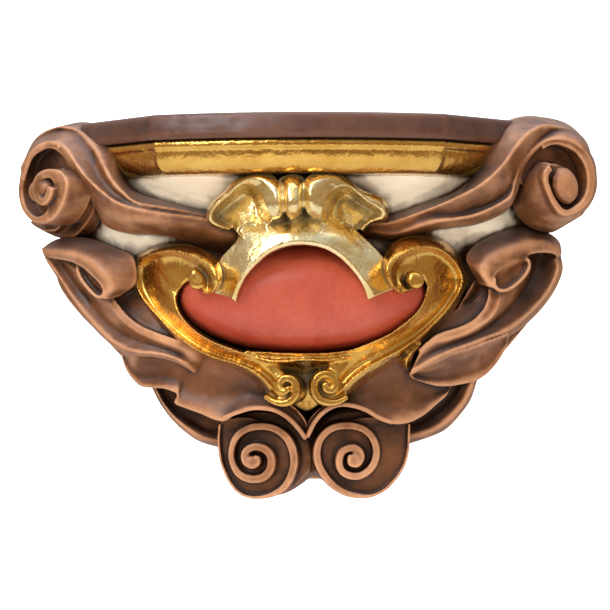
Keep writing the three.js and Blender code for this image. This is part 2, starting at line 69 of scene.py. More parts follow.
# The arms: control points across, out of the wall and up, in millimetres
LEFT_ARM = [
    # lower edge
    [(-38, 112, 25), (-50, 111, 29), (-68, 109, 34), (-85, 105, 35), (-97, 100, 39), (-102, 100, 48),
        (-108, 104, 57), (-113, 104, 65), (-117, 101, 72), (-123, 96, 77), (-129, 90, 77),
        (-136, 83, 73), (-141, 77, 62)],
    # rounded bead
    [(-32, 122, 31), (-48, 121, 36), (-65, 121, 39), (-82, 119, 40), (-93, 114, 44), (-100, 108, 51),
        (-105, 110, 59), (-111, 108, 66), (-116, 104, 73), (-122, 97, 79), (-130, 91, 79),
        (-137, 83, 75), (-142, 77, 63)],
    # front ridge
    [(-32, 124, 38), (-48, 124, 42), (-64, 124, 44), (-77, 123, 46), (-87, 122, 49), (-95, 120, 54),
        (-103, 117, 61), (-109, 113, 68), (-114, 108, 75), (-121, 99, 80), (-130, 91, 80),
        (-137, 83, 76), (-143, 77, 63)],
    # flute
    [(-33, 122, 40), (-48, 122, 43), (-64, 122, 45), (-78, 121, 48), (-88, 117, 52), (-94, 114, 57),
        (-100, 109, 65), (-104, 104, 73), (-110, 97, 80), (-117, 87, 86), (-128, 78, 86), (-139, 71, 80),
        (-145, 65, 66)],
    # back ridge
    [(-34, 123, 41), (-49, 123, 44), (-65, 123, 47), (-78, 122, 49), (-85, 119, 54), (-91, 116, 60),
        (-96, 112, 68), (-100, 107, 75), (-105, 100, 81), (-113, 90, 87), (-125, 80, 89), (-137, 70, 84),
        (-146, 62, 70)],
    # upper edge
    [(-35, 113, 45), (-51, 112, 47), (-68, 111, 51), (-81, 109, 55), (-87, 106, 62), (-90, 105, 71),
        (-93, 102, 79), (-97, 97, 84), (-102, 88, 89), (-110, 76, 92), (-120, 64, 92), (-133, 54, 88),
        (-142, 48, 78)],
]

RIGHT_ARM = [
    # lower edge
    [(34, 112, 32), (45, 111, 31), (62, 109, 36), (75, 107, 38), (86, 104, 40), (96, 101, 44),
        (102, 100, 49), (105, 102, 56), (107, 103, 65), (112, 102, 73), (119, 100, 79), (126, 97, 80),
        (133, 92, 78), (139, 87, 72), (142, 85, 62)],
    # lower bead
    [(34, 120, 35), (45, 119, 34), (62, 119, 39), (75, 118, 41), (84, 116, 43), (93, 113, 47),
        (101, 110, 52), (103, 108, 59), (106, 106, 67), (112, 104, 75), (119, 101, 80), (127, 98, 81),
        (134, 93, 79), (140, 88, 72), (143, 86, 62)],
    # flute
    [(34, 121, 37), (45, 120, 36), (62, 118, 43), (74, 116, 44), (83, 113, 46), (93, 110, 50),
        (100, 108, 56), (103, 107, 63), (107, 106, 70), (113, 103, 78), (120, 98, 83), (128, 94, 84),
        (137, 88, 80), (142.5, 82, 72), (144.5, 78, 62)],
    # upper ridge
    [(34, 123, 39), (44, 123, 40), (62, 123, 46), (74, 123, 51), (84, 122, 56), (91, 120, 61),
        (98, 118, 68), (103, 115, 75), (109, 111, 82), (117, 103, 87), (126, 93, 87), (133, 84, 86),
        (140, 76, 81), (143.5, 70, 71), (144.5, 66, 62)],
    # upper edge
    [(34, 112, 43), (43, 112, 44), (62, 111, 50), (73, 110, 54), (81, 108, 60), (86, 107, 67),
        (89, 106, 75), (92, 104, 82), (98, 98, 89), (109, 88, 93), (121, 76, 93), (131, 66, 91),
        (139, 58, 85), (143, 52, 76), (144, 50, 66)],
]

# Across a flank, and how far it is hollowed there
FLANK_SHARES = ((0, 0), (0.4, 4), (1, 0))

LEFT_FLANK = [
    [(-131, 50, 24), (-128, 50, 10), (-118, 50, -4), (-106, 50, -16), (-94, 52, -28), (-84, 54, -38)],
    [(-92, 76, 32), (-85, 84, 16), (-78, 88, 2), (-70, 88, -10), (-62, 86, -22), (-56, 84, -34)],
]

RIGHT_FLANK = [
    [(127, 50, 24), (126, 50, 10), (118, 50, -2), (110, 50, -12), (98, 52, -26), (88, 54, -36)],
    [(92, 76, 32), (86, 84, 16), (78, 88, 2), (70, 88, -10), (62, 86, -22), (56, 84, -34)],
]

# Smooth lines and closed skins, of points (across, depth out of the wall, height) in millimetres

def spline(points, steps):
    """A smooth line or sheet through its control points, sampled evenly between them."""
    p = np.array(points, float)
    p = np.concatenate([[2 * p[0] - p[1]], p, [2 * p[-1] - p[-2]]])
    count = len(points) - 1
    t = np.linspace(0, count, steps + 1)
    i = np.minimum(t.astype(int), count - 1)
    u = (t - i).reshape((-1,) + (1,) * (p.ndim - 1))
    a, b, c, d = p[i], p[i + 1], p[i + 2], p[i + 3]
    return 0.5 * (2 * b + (c - a) * u + (2 * a - 5 * b + 4 * c - d) * u**2 + (3 * b - a - 3 * c + d) * u**3)


def across_rails(rails, steps, fine, creases=()):
    """A sheet through rails: smooth along and across them, with a fold line at each crease."""
    lines = np.stack([spline(r, steps) for r in rails])
    stops = [0, *sorted(creases), len(rails) - 1]
    parts = []
    for a, b in zip(stops, stops[1:]):
        if b - a > 1:
            part = spline(lines[a : b + 1], fine * (b - a))
        else:
            part = np.linspace(lines[a], lines[b], fine + 1)
        parts.append(part if b == stops[-1] else part[:-1])
    return np.concatenate(parts)


def slab(front, back):
    """The closed skin between two grids of points of the same size."""
    rows, cols = front.shape[:2]
    verts = np.concatenate([front.reshape(-1, 3), back.reshape(-1, 3)])
    at = np.arange(rows * cols).reshape(rows, cols)
    quad = np.stack([at[:-1, :-1], at[1:, :-1], at[1:, 1:], at[:-1, 1:]], -1).reshape(-1, 4)
    faces = [quad, quad[:, ::-1] + rows * cols]
    edge = np.concatenate([at[0, :-1], at[:-1, -1], at[-1, :0:-1], at[:0:-1, 0]])
    after = np.roll(edge, -1)
    faces.append(np.stack([edge, after, after + rows * cols, edge + rows * cols], -1))
    return verts, np.concatenate(faces)


def tube(rings):
    """The closed skin through rings of points, with a fan at each end."""
    rings = np.array(rings, float)
    count, size = rings.shape[:2]
    verts = np.concatenate([rings.reshape(-1, 3), [rings[0].mean(0), rings[-1].mean(0)]])
    at = np.arange(count * size).reshape(count, size)
    after = np.roll(at, -1, axis=1)
    faces = np.stack([at[:-1], at[1:], after[1:], after[:-1]], -1).reshape(-1, 4)
    start, end = np.full(size, count * size), np.full(size, count * size + 1)
    first = np.stack([at[0], after[0], start, start], -1)
    last = np.stack([after[-1], at[-1], end, end], -1)
    return verts, np.concatenate([faces, first, last])


def relief(rails, steps, floor, fine=5, creases=()):
    """A carved surface over its rails, solid behind to the floor: a depth out of the wall."""
    front = across_rails(rails, steps, fine, creases)
    back = front.copy()
    back[..., 1] = floor
    return slab(front, back)


def hollowed(edge_a, edge_b, shares):
    """Rails between two edges, each sunk towards the wall at its share of the span."""
    a, b = np.array(edge_a, float), np.array(edge_b, float)
    return [a + (b - a) * share - np.array([0, sink, 0]) for share, sink in shares]


def dome(centre, half_width, rise, depth, fullness=0.75, sides=14):
    """A cushion-shaped field: half of a flattened ball on straight sides."""
    crown = math.pi / 2 * 0.985
    angle = np.linspace(0, crown, 40)[:, None]
    turn = np.linspace(0, 2 * math.pi, 120, endpoint=False)[None, :]
    flat = np.cos(angle) ** fullness
    ball = np.stack([
        centre[0] + half_width * flat * np.cos(turn),
        centre[1] + depth * np.sin(angle) + 0 * turn,
        centre[2] + rise * flat * np.sin(turn),
    ], -1)
    behind = ball[:1] - np.array([0, sides, 0])
    return tube(np.concatenate([behind, ball]))


def outline(setback, per_side=24):
    """The board's front line from wall to wall, drawn in by a setback."""
    side = -BOARD_HALF_WIDTH + setback
    corner = -BOARD_CORNER + setback / 2
    front = BOARD_CORNER_DEPTH - setback
    line = np.array([(side, 0), (side, BOARD_SIDE_DEPTH - setback / 2), (corner, front)])
    shares = np.linspace(0, 1, per_side, endpoint=False)
    left = [tuple(a + (b - a) * share) for a, b in zip(line, line[1:]) for share in shares]
    across = np.linspace(corner, -corner, 2 * per_side)
    bow = [(x, front + BOARD_BOW * (1 - (x / BOARD_CORNER) ** 2)) for x in across]
    right = [(-x, d) for x, d in reversed(left)]
    return left + bow + right


def stacked(levels):
    """A closed moulding through levels of (setback, height)."""
    return tube([[(x, d, z) for x, d in outline(setback)] for setback, z in levels])


def body(levels, sides=72):
    """The core: half ovals out of the wall, round below and squarer towards the board."""
    rings = []
    for z, width, depth in spline(levels, 6 * (len(levels) - 1)):
        power = 2 / (2 + 1.2 * min(1, max(0, (z + 60) / 120)))
        ring = []
        for j in range(sides + 1):
            a = math.pi * (1 - j / sides)
            across = math.copysign(abs(math.cos(a)) ** power, math.cos(a))
            out = abs(math.sin(a)) ** power
            ring.append((BODY_HALF_WIDTH * width * across, BODY_DEPTH * depth * out, z))
        rings.append(ring)
    return tube(rings)


# Forms read from the front: across and down in the camera's picture, then depth out of the wall

def seen(points):
    """Points (across, down, depth) of the 610 by 610 picture as places in the frame."""
    p = np.array(points, float)
    u = (p[..., 0] - PICTURE_MIDDLE) / PIXELS_PER_MM
    w = (PICTURE_MIDDLE - p[..., 1]) / PIXELS_PER_MM
    cos, sin = math.cos(CAMERA_TURN), math.sin(CAMERA_TURN)
    t = (-p[..., 2] - CAMERA[1]) / (CAMERA_REACH * cos + u * sin)
    return np.stack([CAMERA[0] + t * (u * cos - CAMERA_REACH * sin), p[..., 2], t * w], -1)


def on_face(points, centre, turn, rise):
    """Points (across, down) of the picture on an upright face, rising from first to last."""
    yaw = math.radians(turn)
    axis = np.array([math.sin(yaw), math.cos(yaw), 0])
    p = np.array(points, float)
    lift = np.linspace(rise[0], rise[1], len(p))
    eye = np.array([CAMERA[0], -CAMERA[1], 0])
    any_depth = np.full((len(p), 1), 60.0)
    ray = seen(np.concatenate([p, any_depth], 1)) - eye
    goal = np.array(centre, float) @ axis + lift
    t = (goal - eye @ axis) / (ray @ axis)
    return eye + ray * t[:, None], axis


def rim(outer, inner, centre, turn, rise, deep, steps=180, lean=1.2):
    """The edge of a rolled ribbon between two spirals of the picture, standing on a deeper floor."""
    a, axis = on_face(outer, centre, turn, rise)
    b, _ = on_face(inner, centre, turn, rise)
    a, b = spline(a, steps), spline(b, steps)
    out = (a - b) / np.linalg.norm(a - b, axis=1, keepdims=True)
    soft = 0.5
    return tube(np.stack([
        a - axis * deep + out * lean, a - axis * soft, a - out * soft,
        b + out * soft, b - axis * soft, b - axis * deep,
    ], 1))


def drum(face, centre, turn, levels):
    """A barrel behind a face: levels give how far back, and how far it grows round its middle."""
    ring, axis = on_face(face, centre, turn, (0, 0))
    ring = spline(np.concatenate([ring, ring[:1]]), 96)[:-1]
    middle = ring.mean(0)
    rings = []
    for back, grow in levels:
        out = ring - middle
        out /= np.linalg.norm(out, axis=1, keepdims=True)
        rings.append(ring + out * grow - axis * back)
    return tube(rings)


# Points (across, down, depth out of the wall) in pixels, pixels and millimetres

# Gilding: the rails of each scroll, from its outer edge to its inner one
LEFT_C = {
    "outer": [(217, 291, 126), (222, 282, 127), (222, 272, 127), (218, 262, 125), (210, 254, 120),
        (197, 247, 112), (180, 243, 103), (160, 245, 98), (147, 250, 93), (137, 256, 88), (133, 268, 86),
        (133, 281, 86), (136, 291, 87), (144, 305, 88), (152, 317, 89), (160, 328, 90), (169, 337, 91),
        (178, 344, 93), (190, 352, 95), (207, 360, 97), (227, 366, 99), (240, 372, 100), (254, 381, 101),
        (264, 392, 101), (273, 401, 100)],
    "crest": [(209, 294, 127), (213, 287, 130), (212, 279, 131), (208, 271, 130), (201, 264, 127),
        (190, 256, 122), (176, 251, 117), (160, 252, 111), (148, 256, 104), (140, 262, 98),
        (137, 270, 95), (136, 281, 95), (139, 291, 96), (147, 304, 99), (157, 315, 102), (166, 325, 105),
        (176, 334, 108), (187, 343, 111), (200, 351, 113), (216, 358, 114), (234, 363, 115),
        (250, 369, 116), (263, 378, 117), (272, 388, 116), (279, 397, 112)],
    "bed": [(203, 294, 123), (207, 289, 122), (208, 282, 121), (204, 275, 119), (196, 269, 116),
        (185, 266, 112), (174, 266, 108), (164, 268, 104), (157, 271, 100), (153, 276, 98),
        (153, 283, 98), (155, 291, 99), (160, 302, 102), (168, 313, 105), (177, 322, 108),
        (187, 331, 110), (198, 339, 112), (210, 346, 113), (223, 352, 114), (238, 357, 114),
        (250, 361, 115), (261, 366, 115), (272, 373, 116), (281, 383, 117), (287, 394, 114)],
    "inner": [(199, 296, 127), (203, 292, 124), (205, 286, 119), (200, 281, 116), (193, 280, 113),
        (187, 282, 111), (182, 286, 110), (179, 290, 110), (177, 294, 110), (176, 298, 111),
        (176, 303, 112), (178, 309, 113), (182, 317, 116), (189, 325, 118), (197, 332, 119),
        (206, 338, 120), (216, 343, 120), (227, 347, 120), (238, 351, 119), (249, 354, 118),
        (259, 357, 117), (268, 361, 116), (279, 368, 115), (289, 379, 115), (293, 390, 113)],
}
RIGHT_C = {
    "outer": [(395, 291, 126), (389, 284, 127), (384, 273, 127), (383, 262, 125), (386, 252, 121),
        (394, 242, 115), (409, 235, 108), (426, 234, 102), (442, 240, 98), (455, 251, 93),
        (464, 264, 88), (468, 278, 86), (464, 292, 87), (456, 308, 88), (448, 319, 89), (438, 330, 90),
        (429, 339, 91), (421, 348, 93), (411, 355, 95), (397, 363, 97), (382, 372, 99), (368, 381, 100),
        (356, 392, 101), (345, 399, 101), (336, 403, 100)],
    "crest": [(405, 294, 127), (397, 289, 129), (392, 280, 131), (391, 271, 131), (395, 262, 129),
        (404, 254, 126), (417, 248, 121), (431, 247, 115), (443, 251, 110), (452, 259, 104),
        (459, 269, 99), (462, 279, 97), (459, 291, 97), (451, 304, 100), (442, 315, 103),
        (431, 326, 106), (420, 336, 109), (408, 345, 112), (395, 353, 114), (380, 361, 115),
        (366, 369, 116), (354, 378, 117), (345, 387, 117), (338, 394, 115), (331, 400, 112)],
    "bed": [(408, 290, 122), (401, 285, 122), (397, 279, 121), (397, 272, 120), (402, 266, 118),
        (412, 261, 115), (424, 260, 111), (434, 262, 107), (441, 267, 103), (446, 273, 100),
        (448, 279, 98), (447, 286, 98), (444, 293, 100), (437, 303, 103), (429, 313, 106),
        (418, 323, 109), (406, 332, 111), (393, 340, 113), (380, 347, 114), (366, 353, 115),
        (354, 360, 115), (345, 368, 116), (337, 377, 117), (331, 386, 117), (326, 394, 114)],
    "inner": [(414, 293, 127), (407, 290, 125), (402, 284, 121), (403, 279, 118), (409, 276, 115),
        (417, 276, 112), (423, 279, 110), (426, 283, 109), (427, 287, 109), (426, 291, 110),
        (425, 296, 111), (423, 302, 112), (419, 309, 114), (412, 317, 117), (402, 325, 119),
        (391, 333, 120), (379, 339, 120), (367, 344, 120), (357, 348, 119), (347, 351, 118),
        (339, 356, 117), (331, 363, 116), (325, 372, 115), (319, 380, 115), (315, 389, 113)],
}
ARCH = {
    "inner": [(236, 302, 127), (238, 294, 129), (241, 286, 131), (247, 275, 132), (257, 264, 133),
        (270, 253, 134), (288, 246, 135), (307, 245, 135), (325, 249, 134), (340, 258, 133),
        (353, 271, 132), (362, 284, 131), (368, 300, 127)],
    "crest": [(232, 299, 128), (235, 291, 130), (238, 283, 132), (244, 272, 133), (254, 261, 134),
        (268, 249.5, 135), (287, 242, 136), (308, 241.5, 136), (327, 245.5, 135), (343, 255, 134),
        (356, 268, 133), (366, 282, 132), (374, 297, 128)],
    "bed": [(225, 296, 124), (229, 287, 126), (232, 278, 127.5), (236, 266, 128.5), (245, 251, 130),
        (261, 237, 131.5), (284, 229, 133), (309, 228, 133), (335, 233, 132), (353, 245, 130.5),
        (366, 261, 129), (376, 278, 127.5), (384, 293, 124)],
    "outer": [(213, 293, 119), (215.5, 282, 121), (217, 270, 122), (221.5, 257, 122.5), (236, 241, 124),
        (243, 226, 124), (272, 210, 121), (308, 207, 126), (340, 213, 121), (353, 227, 124),
        (379, 252, 123), (389, 268, 122), (397, 288, 119)],
}
STRIP = {
    "top": [(246, 351, 118), (262, 352, 120), (283, 353, 121), (305, 353.5, 121), (327, 353, 121),
        (345, 351, 120), (360, 348, 118)],
    "bed": [(250, 354, 116), (264, 356, 117), (284, 357, 118), (305, 357.5, 118), (327, 357, 118),
        (343, 355, 117), (356, 353, 116)],
    "low": [(256, 358, 118), (268, 361, 119), (286, 361.5, 120), (305, 359, 121), (323, 360.5, 120),
        (337, 359, 119), (350, 357, 118)],
    "foot": [(264, 366, 108), (275, 370, 106), (290, 374, 104), (305, 376, 103), (320, 374, 104),
        (332, 369, 106), (344, 364, 108)],
}
# Leaves: the two edges of each blade, and the rails of the ones behind
LEFT_LEAF = {
    "upper": [(120.5, 350, 86), (126, 353, 88), (134, 355, 91), (144, 352, 90), (155, 350, 90),
        (167, 350, 91), (180, 351, 93), (194, 353, 95), (208, 355, 98), (223, 358, 100), (237, 364, 101),
        (249, 372, 101), (261, 382, 101), (273, 393, 101), (286, 401, 101), (298, 411, 100),
        (306, 422, 95), (307, 436, 88)],
    "lower": [(121, 354, 80), (124, 365, 76), (130, 376, 75), (140, 386, 77), (152, 388, 80),
        (165, 389, 84), (178, 395, 87), (174, 403, 86), (186, 408.5, 88), (201, 414, 91), (215, 420, 95),
        (226, 420.5, 98), (239, 411.5, 102), (256, 407, 104), (273, 409, 104), (288, 418, 101),
        (298, 429, 96), (305.5, 440, 89)],
}
RIGHT_PETAL = {
    "upper": [(509.5, 334, 84), (501, 337, 87), (490, 341, 90), (478, 345.5, 93), (465, 350, 96),
        (452, 354, 99), (440, 360, 101), (428, 365, 103), (416, 370, 104), (408, 374, 104)],
    "lower": [(509, 338, 79), (506, 348, 76), (499, 360, 75), (489, 372, 76), (477, 380.5, 79),
        (463, 384, 83), (450, 386, 87), (437, 386, 92), (425, 383, 97), (413, 379, 102)],
}
RIGHT_LEAF = {
    "upper": [(455, 380, 84), (444, 380, 88), (434, 374, 92), (424, 367, 94), (412, 361, 97),
        (399, 359, 100), (386, 363, 101), (371, 372, 101), (358, 383, 101), (345, 393, 101),
        (331, 401, 101), (318, 410, 100), (308, 422, 95), (306, 436, 88)],
    "lower": [(450, 389, 81), (446, 396, 81), (437, 404, 82), (424, 415, 86), (408, 423, 91),
        (392, 424, 95), (378, 419, 98), (365, 411.5, 101), (352, 406.5, 103), (338, 405.5, 104),
        (326, 411, 102), (316, 422, 98), (311, 430, 94), (306.5, 440, 89)],
}
LEFT_HIND = [
    [(151, 386, 52), (159, 402, 52), (171, 419, 52), (186, 433, 52), (200, 442, 52), (220, 448, 52)],
    [(154, 387, 58), (163, 403, 58), (174, 417, 58), (189, 430, 58), (203, 438, 58), (222, 442, 58)],
    [(158, 388, 55), (167, 404, 55), (178, 416, 55), (193, 426, 55), (206, 433, 55), (224, 436, 55)],
    [(163, 388, 49), (172, 400, 49), (184, 412, 49), (196, 421, 49), (208, 427, 49), (226, 430, 49)],
    [(180, 380, 52), (188, 390, 52), (198, 400, 52), (208, 408, 52), (218, 414, 52), (230, 420, 52)],
]
RIGHT_HIND = [
    [(478, 378, 52), (472, 397, 52), (464, 410, 52), (449, 427, 52), (433, 436, 52), (406, 445, 52)],
    [(474, 379, 57), (467, 396, 57), (459, 408, 57), (445, 422, 57), (430, 431, 57), (404, 438, 57)],
    [(464, 380, 54), (458, 394, 54), (450, 405, 54), (438, 416, 54), (424, 425, 54), (402, 431, 54)],
    [(458, 380, 50), (452, 392, 50), (444, 401, 50), (432, 411, 50), (420, 419, 50), (400, 426, 50)],
    [(440, 376, 54), (436, 386, 54), (430, 394, 54), (422, 402, 54), (412, 410, 54), (398, 418, 54)],
]


def through(*lines):
    """Rails in the frame from lines of the picture."""
    return [seen(line) for line in lines]


def between(a, b, share, sink):
    """A rail part of the way from one edge of the picture to another, sunk towards the wall."""
    a, b = np.array(a, float), np.array(b, float)
    mix = a + (b - a) * share
    mix[..., 2] -= sink
    return mix


LEAF_SECTION = ((0, 0), (0.12, 2), (0.35, 4.5), (0.65, 3.5), (0.86, 0.8), (0.94, 0), (1, 0))


def leaf(form, floor):
    """A blade between its edges, hollow along the middle."""
    rails = [between(form["upper"], form["lower"], share, sink) for share, sink in LEAF_SECTION]
    return relief(through(*rails), steps=110, floor=floor, fine=4)


def c_scroll(form):
    """A gilded scroll: a round shoulder, a crease along its crest, a flute and a thin lip."""
    outer, crest, bed, inner = (form[k] for k in ("outer", "crest", "bed", "inner"))
    shoulder = between(outer, crest, 0.5, -3)
    slope = between(crest, bed, 0.4, 3)
    lip = between(bed, inner, 0.7, -0.5)
    rails = through(outer, shoulder, crest, slope, bed, lip, inner)
    return relief(rails, steps=170, floor=78, creases=(2,))


# Volutes: the two edges of each rolled ribbon, then the outlines that fill them
LEFT_RIM = [
    [(60, 146), (54, 141), (41, 144), (29, 152), (22.5, 164), (19, 180), (18, 195), (22, 210), (31, 221),
        (40, 223.5), (50, 220.5), (58, 212), (64, 199), (66.5, 186), (64.5, 177), (58, 170.5), (47, 169),
        (38, 172.5), (32.5, 181), (31.5, 191), (35, 201), (40.5, 205.5), (46, 203), (50, 196),
        (51.5, 188)],
    [(58, 150), (53, 145.5), (42, 147.5), (32, 154.5), (26, 165), (23, 180), (22, 194), (25.5, 207.5),
        (33, 215.5), (39.5, 216), (45, 212), (49.5, 204), (53, 194), (53.5, 186), (52, 181), (48, 178),
        (43, 179), (39.5, 183), (38, 189), (39, 195), (41.5, 198), (44, 196), (46, 191), (46.5, 188),
        (46.5, 186)],
]
LEFT_FACE = [(54, 142), (41, 145), (30, 153), (23.5, 165), (20, 180), (19, 195), (23, 209), (32, 220),
    (41, 222), (50, 219), (58, 211), (65, 199), (69, 185), (72, 172), (66, 156)]
LEFT_HUB = [(40, 178), (47.5, 178), (52.5, 185), (50.5, 195), (44.5, 202.5), (37, 201.5), (33.5, 194),
    (34.5, 185)]
LEFT_BARREL = [
    [(63, 167, 104), (67.5, 183, 105), (62, 200, 101), (50, 218, 95), (40, 223, 89), (29, 221, 80)],
    [(69, 173, 94), (72, 187, 95), (66, 203, 91), (55.5, 220, 84), (44, 227, 78), (33, 225, 73)],
    [(78, 178, 100), (80, 190, 101), (75.5, 204, 98), (67, 219, 92), (56, 230, 85), (42, 230.5, 76)],
    [(84, 183, 89), (85, 196, 90), (80, 211, 86), (70, 224.5, 80), (58.5, 232.5, 75), (47, 233, 70)],
    [(93, 190, 95), (95, 203, 96), (90, 217, 92), (80, 231, 86), (70, 238, 79), (56, 237, 71)],
    [(100, 198, 86), (102, 211, 87), (98, 224, 83), (90, 234, 78), (79, 240, 72), (64, 239, 65)],
]
RIGHT_RIM = [
    [(539, 141), (547, 137.5), (558, 136.5), (569, 139), (580, 144), (588, 152.5), (593, 162),
        (595.5, 173), (595.5, 184), (592.5, 197), (586.5, 206), (578, 212.5), (570, 215.5), (565, 215.5),
        (560, 213), (555, 207), (550, 198), (546.5, 189), (544, 179), (545, 171), (549, 165)],
    [(544, 149), (550.5, 145.5), (558, 144.5), (566, 146.5), (574.5, 151), (580.5, 157.5), (585, 165),
        (587.5, 174), (588, 183), (586, 193), (581.5, 201), (575, 206.5), (569.5, 209.5), (566, 209.5),
        (562.5, 207.5), (558.5, 202.5), (554, 195), (551, 187), (549, 179.5), (550, 174), (553, 170)],
]
RIGHT_FACE = [(529, 180), (532, 168), (537, 155), (544, 146), (558, 143), (571, 146), (582, 154),
    (589, 166), (591, 183), (587, 198), (578, 209), (568, 214), (558, 209), (548, 196), (537, 189)]
RIGHT_CAP = [(546, 172), (550, 166), (557, 163), (565, 165), (572, 170), (577, 177), (580, 187),
    (578, 197), (572, 205), (565, 208), (558, 203), (551, 191), (547, 181)]
RIGHT_KNOB = [(554, 178), (559, 169), (567, 168), (574.5, 175), (578.5, 186), (577, 197), (570, 204),
    (563, 202.5), (557, 197), (553.5, 188)]
RIGHT_BARREL = [
    [(552, 164, 101), (545.5, 171, 103), (544.5, 180, 103.5), (547.5, 190, 102.5), (551.5, 199, 101),
        (557, 208, 99), (563, 214.5, 97), (571, 215, 94), (580, 209, 90)],
    [(543, 162, 99), (537, 171, 101), (535, 182, 101.5), (538, 194, 100.5), (543, 206, 98),
        (550, 216, 95), (559, 221.5, 92), (570, 220.5, 89), (582, 213, 85)],
    [(533, 165, 95), (526, 175, 97), (523, 187, 97), (526, 201, 95), (533, 213, 92), (543, 223, 88),
        (556, 227, 85), (569, 223, 82), (583, 215, 79)],
    [(526, 172, 86), (517, 181, 87), (512, 194, 87), (514, 209, 85), (523, 222, 82), (536, 230, 79),
        (553, 231.5, 75), (568, 224, 71), (584, 212.5, 68)],
]
RIGHT_HOOD = [
    [(577, 147, 92), (586, 157, 90), (591, 168, 88), (591.7, 176, 87), (591.7, 185, 87), (590, 195, 88),
        (585, 204, 90), (577, 211, 92.5), (569, 215.5, 95)],
    [(581, 144, 86), (590, 155, 84), (594, 167, 82), (595, 177, 81), (595.2, 187, 81), (593, 197, 82),
        (587, 207, 84), (578, 214.5, 86), (570, 219.5, 88)],
    [(584, 145, 74), (592.5, 156, 73), (596, 166, 72), (597, 177, 72), (597, 187, 72), (594, 198, 72),
        (587.5, 208.5, 72), (578.5, 217.5, 72), (569, 223.5, 72)],
]

# The feet: middle line and width of each spiral band, then its outline in front and its barrel
LEFT_FOOT = [(219.5, 424, 2.2), (218.5, 441, 2.4), (220.3, 459, 2.6), (225.3, 473.5, 2.8),
    (232, 485.5, 2.8), (241, 494, 2.8), (252, 497.5, 3), (262.8, 497, 3.8), (273.5, 494, 5.5),
    (283, 488, 6.6), (289.3, 479, 7.2), (293, 468.5, 7.6), (293.9, 459, 8), (291.8, 448.3, 8),
    (287, 438.5, 7.8), (279.5, 431.8, 7.4), (270.5, 427.7, 7), (260, 426.5, 7), (250, 427.8, 7),
    (241, 432.2, 6.8), (235, 438.8, 6.4), (231.7, 447.5, 5.8), (231, 456, 5.8), (232.8, 464.5, 6),
    (237.8, 473, 6.8), (245.6, 478, 7.4), (255, 479.4, 7.8), (262.8, 477.4, 8.2), (268.5, 472, 8.2),
    (271, 464.5, 8), (270.6, 457, 7.8), (267.3, 451.6, 7.8), (262.3, 448.3, 7.8), (256, 447, 7.6),
    (250, 448.3, 7.4), (245.5, 452, 7.6), (244.6, 457.5, 8), (247, 462.5, 8.4), (252, 464.6, 8.6),
    (256, 462, 8.4), (256.6, 458.5, 6), (254, 456.5, 3)]
RIGHT_FOOT = [(409.3, 424, 2.2), (408.5, 445, 2.4), (406.3, 459, 2.6), (400.8, 471.5, 2.8),
    (391, 484, 2.8), (382, 491.5, 2.8), (370.7, 496, 3.4), (358.6, 496, 5), (346.4, 493.3, 6.2),
    (335.7, 487.3, 6.8), (326.4, 478, 7.2), (320, 467.4, 7.2), (317.3, 457.9, 7.4), (317.6, 448.6, 7.2),
    (320.7, 439.3, 7), (327.1, 431.7, 7), (335, 427.4, 7), (345, 425.7, 7), (354.6, 426.4, 7),
    (363.9, 429.6, 7), (371.4, 436.4, 7), (375.7, 445.7, 7), (376.3, 455, 7.2), (373.3, 465, 7.2),
    (367.1, 472, 7.2), (359.3, 476, 7.2), (351, 476, 7.2), (343.3, 472.4, 7.2), (339.7, 465.7, 7),
    (339.7, 458.6, 7), (342.4, 452, 7), (348.6, 448.6, 7), (355, 448.6, 7.8), (359.6, 452.9, 8.4),
    (360, 458.6, 8.8), (356.4, 463.6, 8.4), (351.4, 462.9, 7), (349.6, 458.6, 4), (350.7, 455, 2)]
LEFT_FOOT_FACE = [(219.5, 420), (218.5, 441), (220.3, 459), (225.3, 473), (232, 485), (241, 493.5),
    (252, 497), (263, 497), (275, 494), (285, 488), (292, 479), (296, 468), (297, 456), (294, 444),
    (287, 434), (276, 427), (262, 423), (245, 418)]
RIGHT_FOOT_FACE = [(409, 420), (408, 445), (406, 459), (400, 471), (391, 483), (382, 491), (370, 495.5),
    (358, 496), (346, 493), (335, 487), (325, 478), (317.5, 467), (314.5, 456), (316, 445), (321, 434),
    (331, 426), (345, 422), (368, 418)]
LEFT_FOOT_EDGE = [(218, 419), (217, 441), (219, 459), (224, 474), (231, 486.5), (240, 495), (251, 498.8),
    (262, 499.7), (274, 498.5), (285, 495), (296, 488), (304, 480), (310, 472), (310.5, 452), (305, 434),
    (293, 419), (270, 411), (245, 411)]
RIGHT_FOOT_EDGE = [(410.7, 419), (409.8, 445), (408, 459), (402, 472), (392, 485), (381, 494.3),
    (369, 498.7), (359, 499.2), (348, 498), (334, 491), (323.6, 483.6), (316, 477), (310, 470),
    (308.5, 452), (313, 434), (325, 419), (348, 410), (380, 411)]

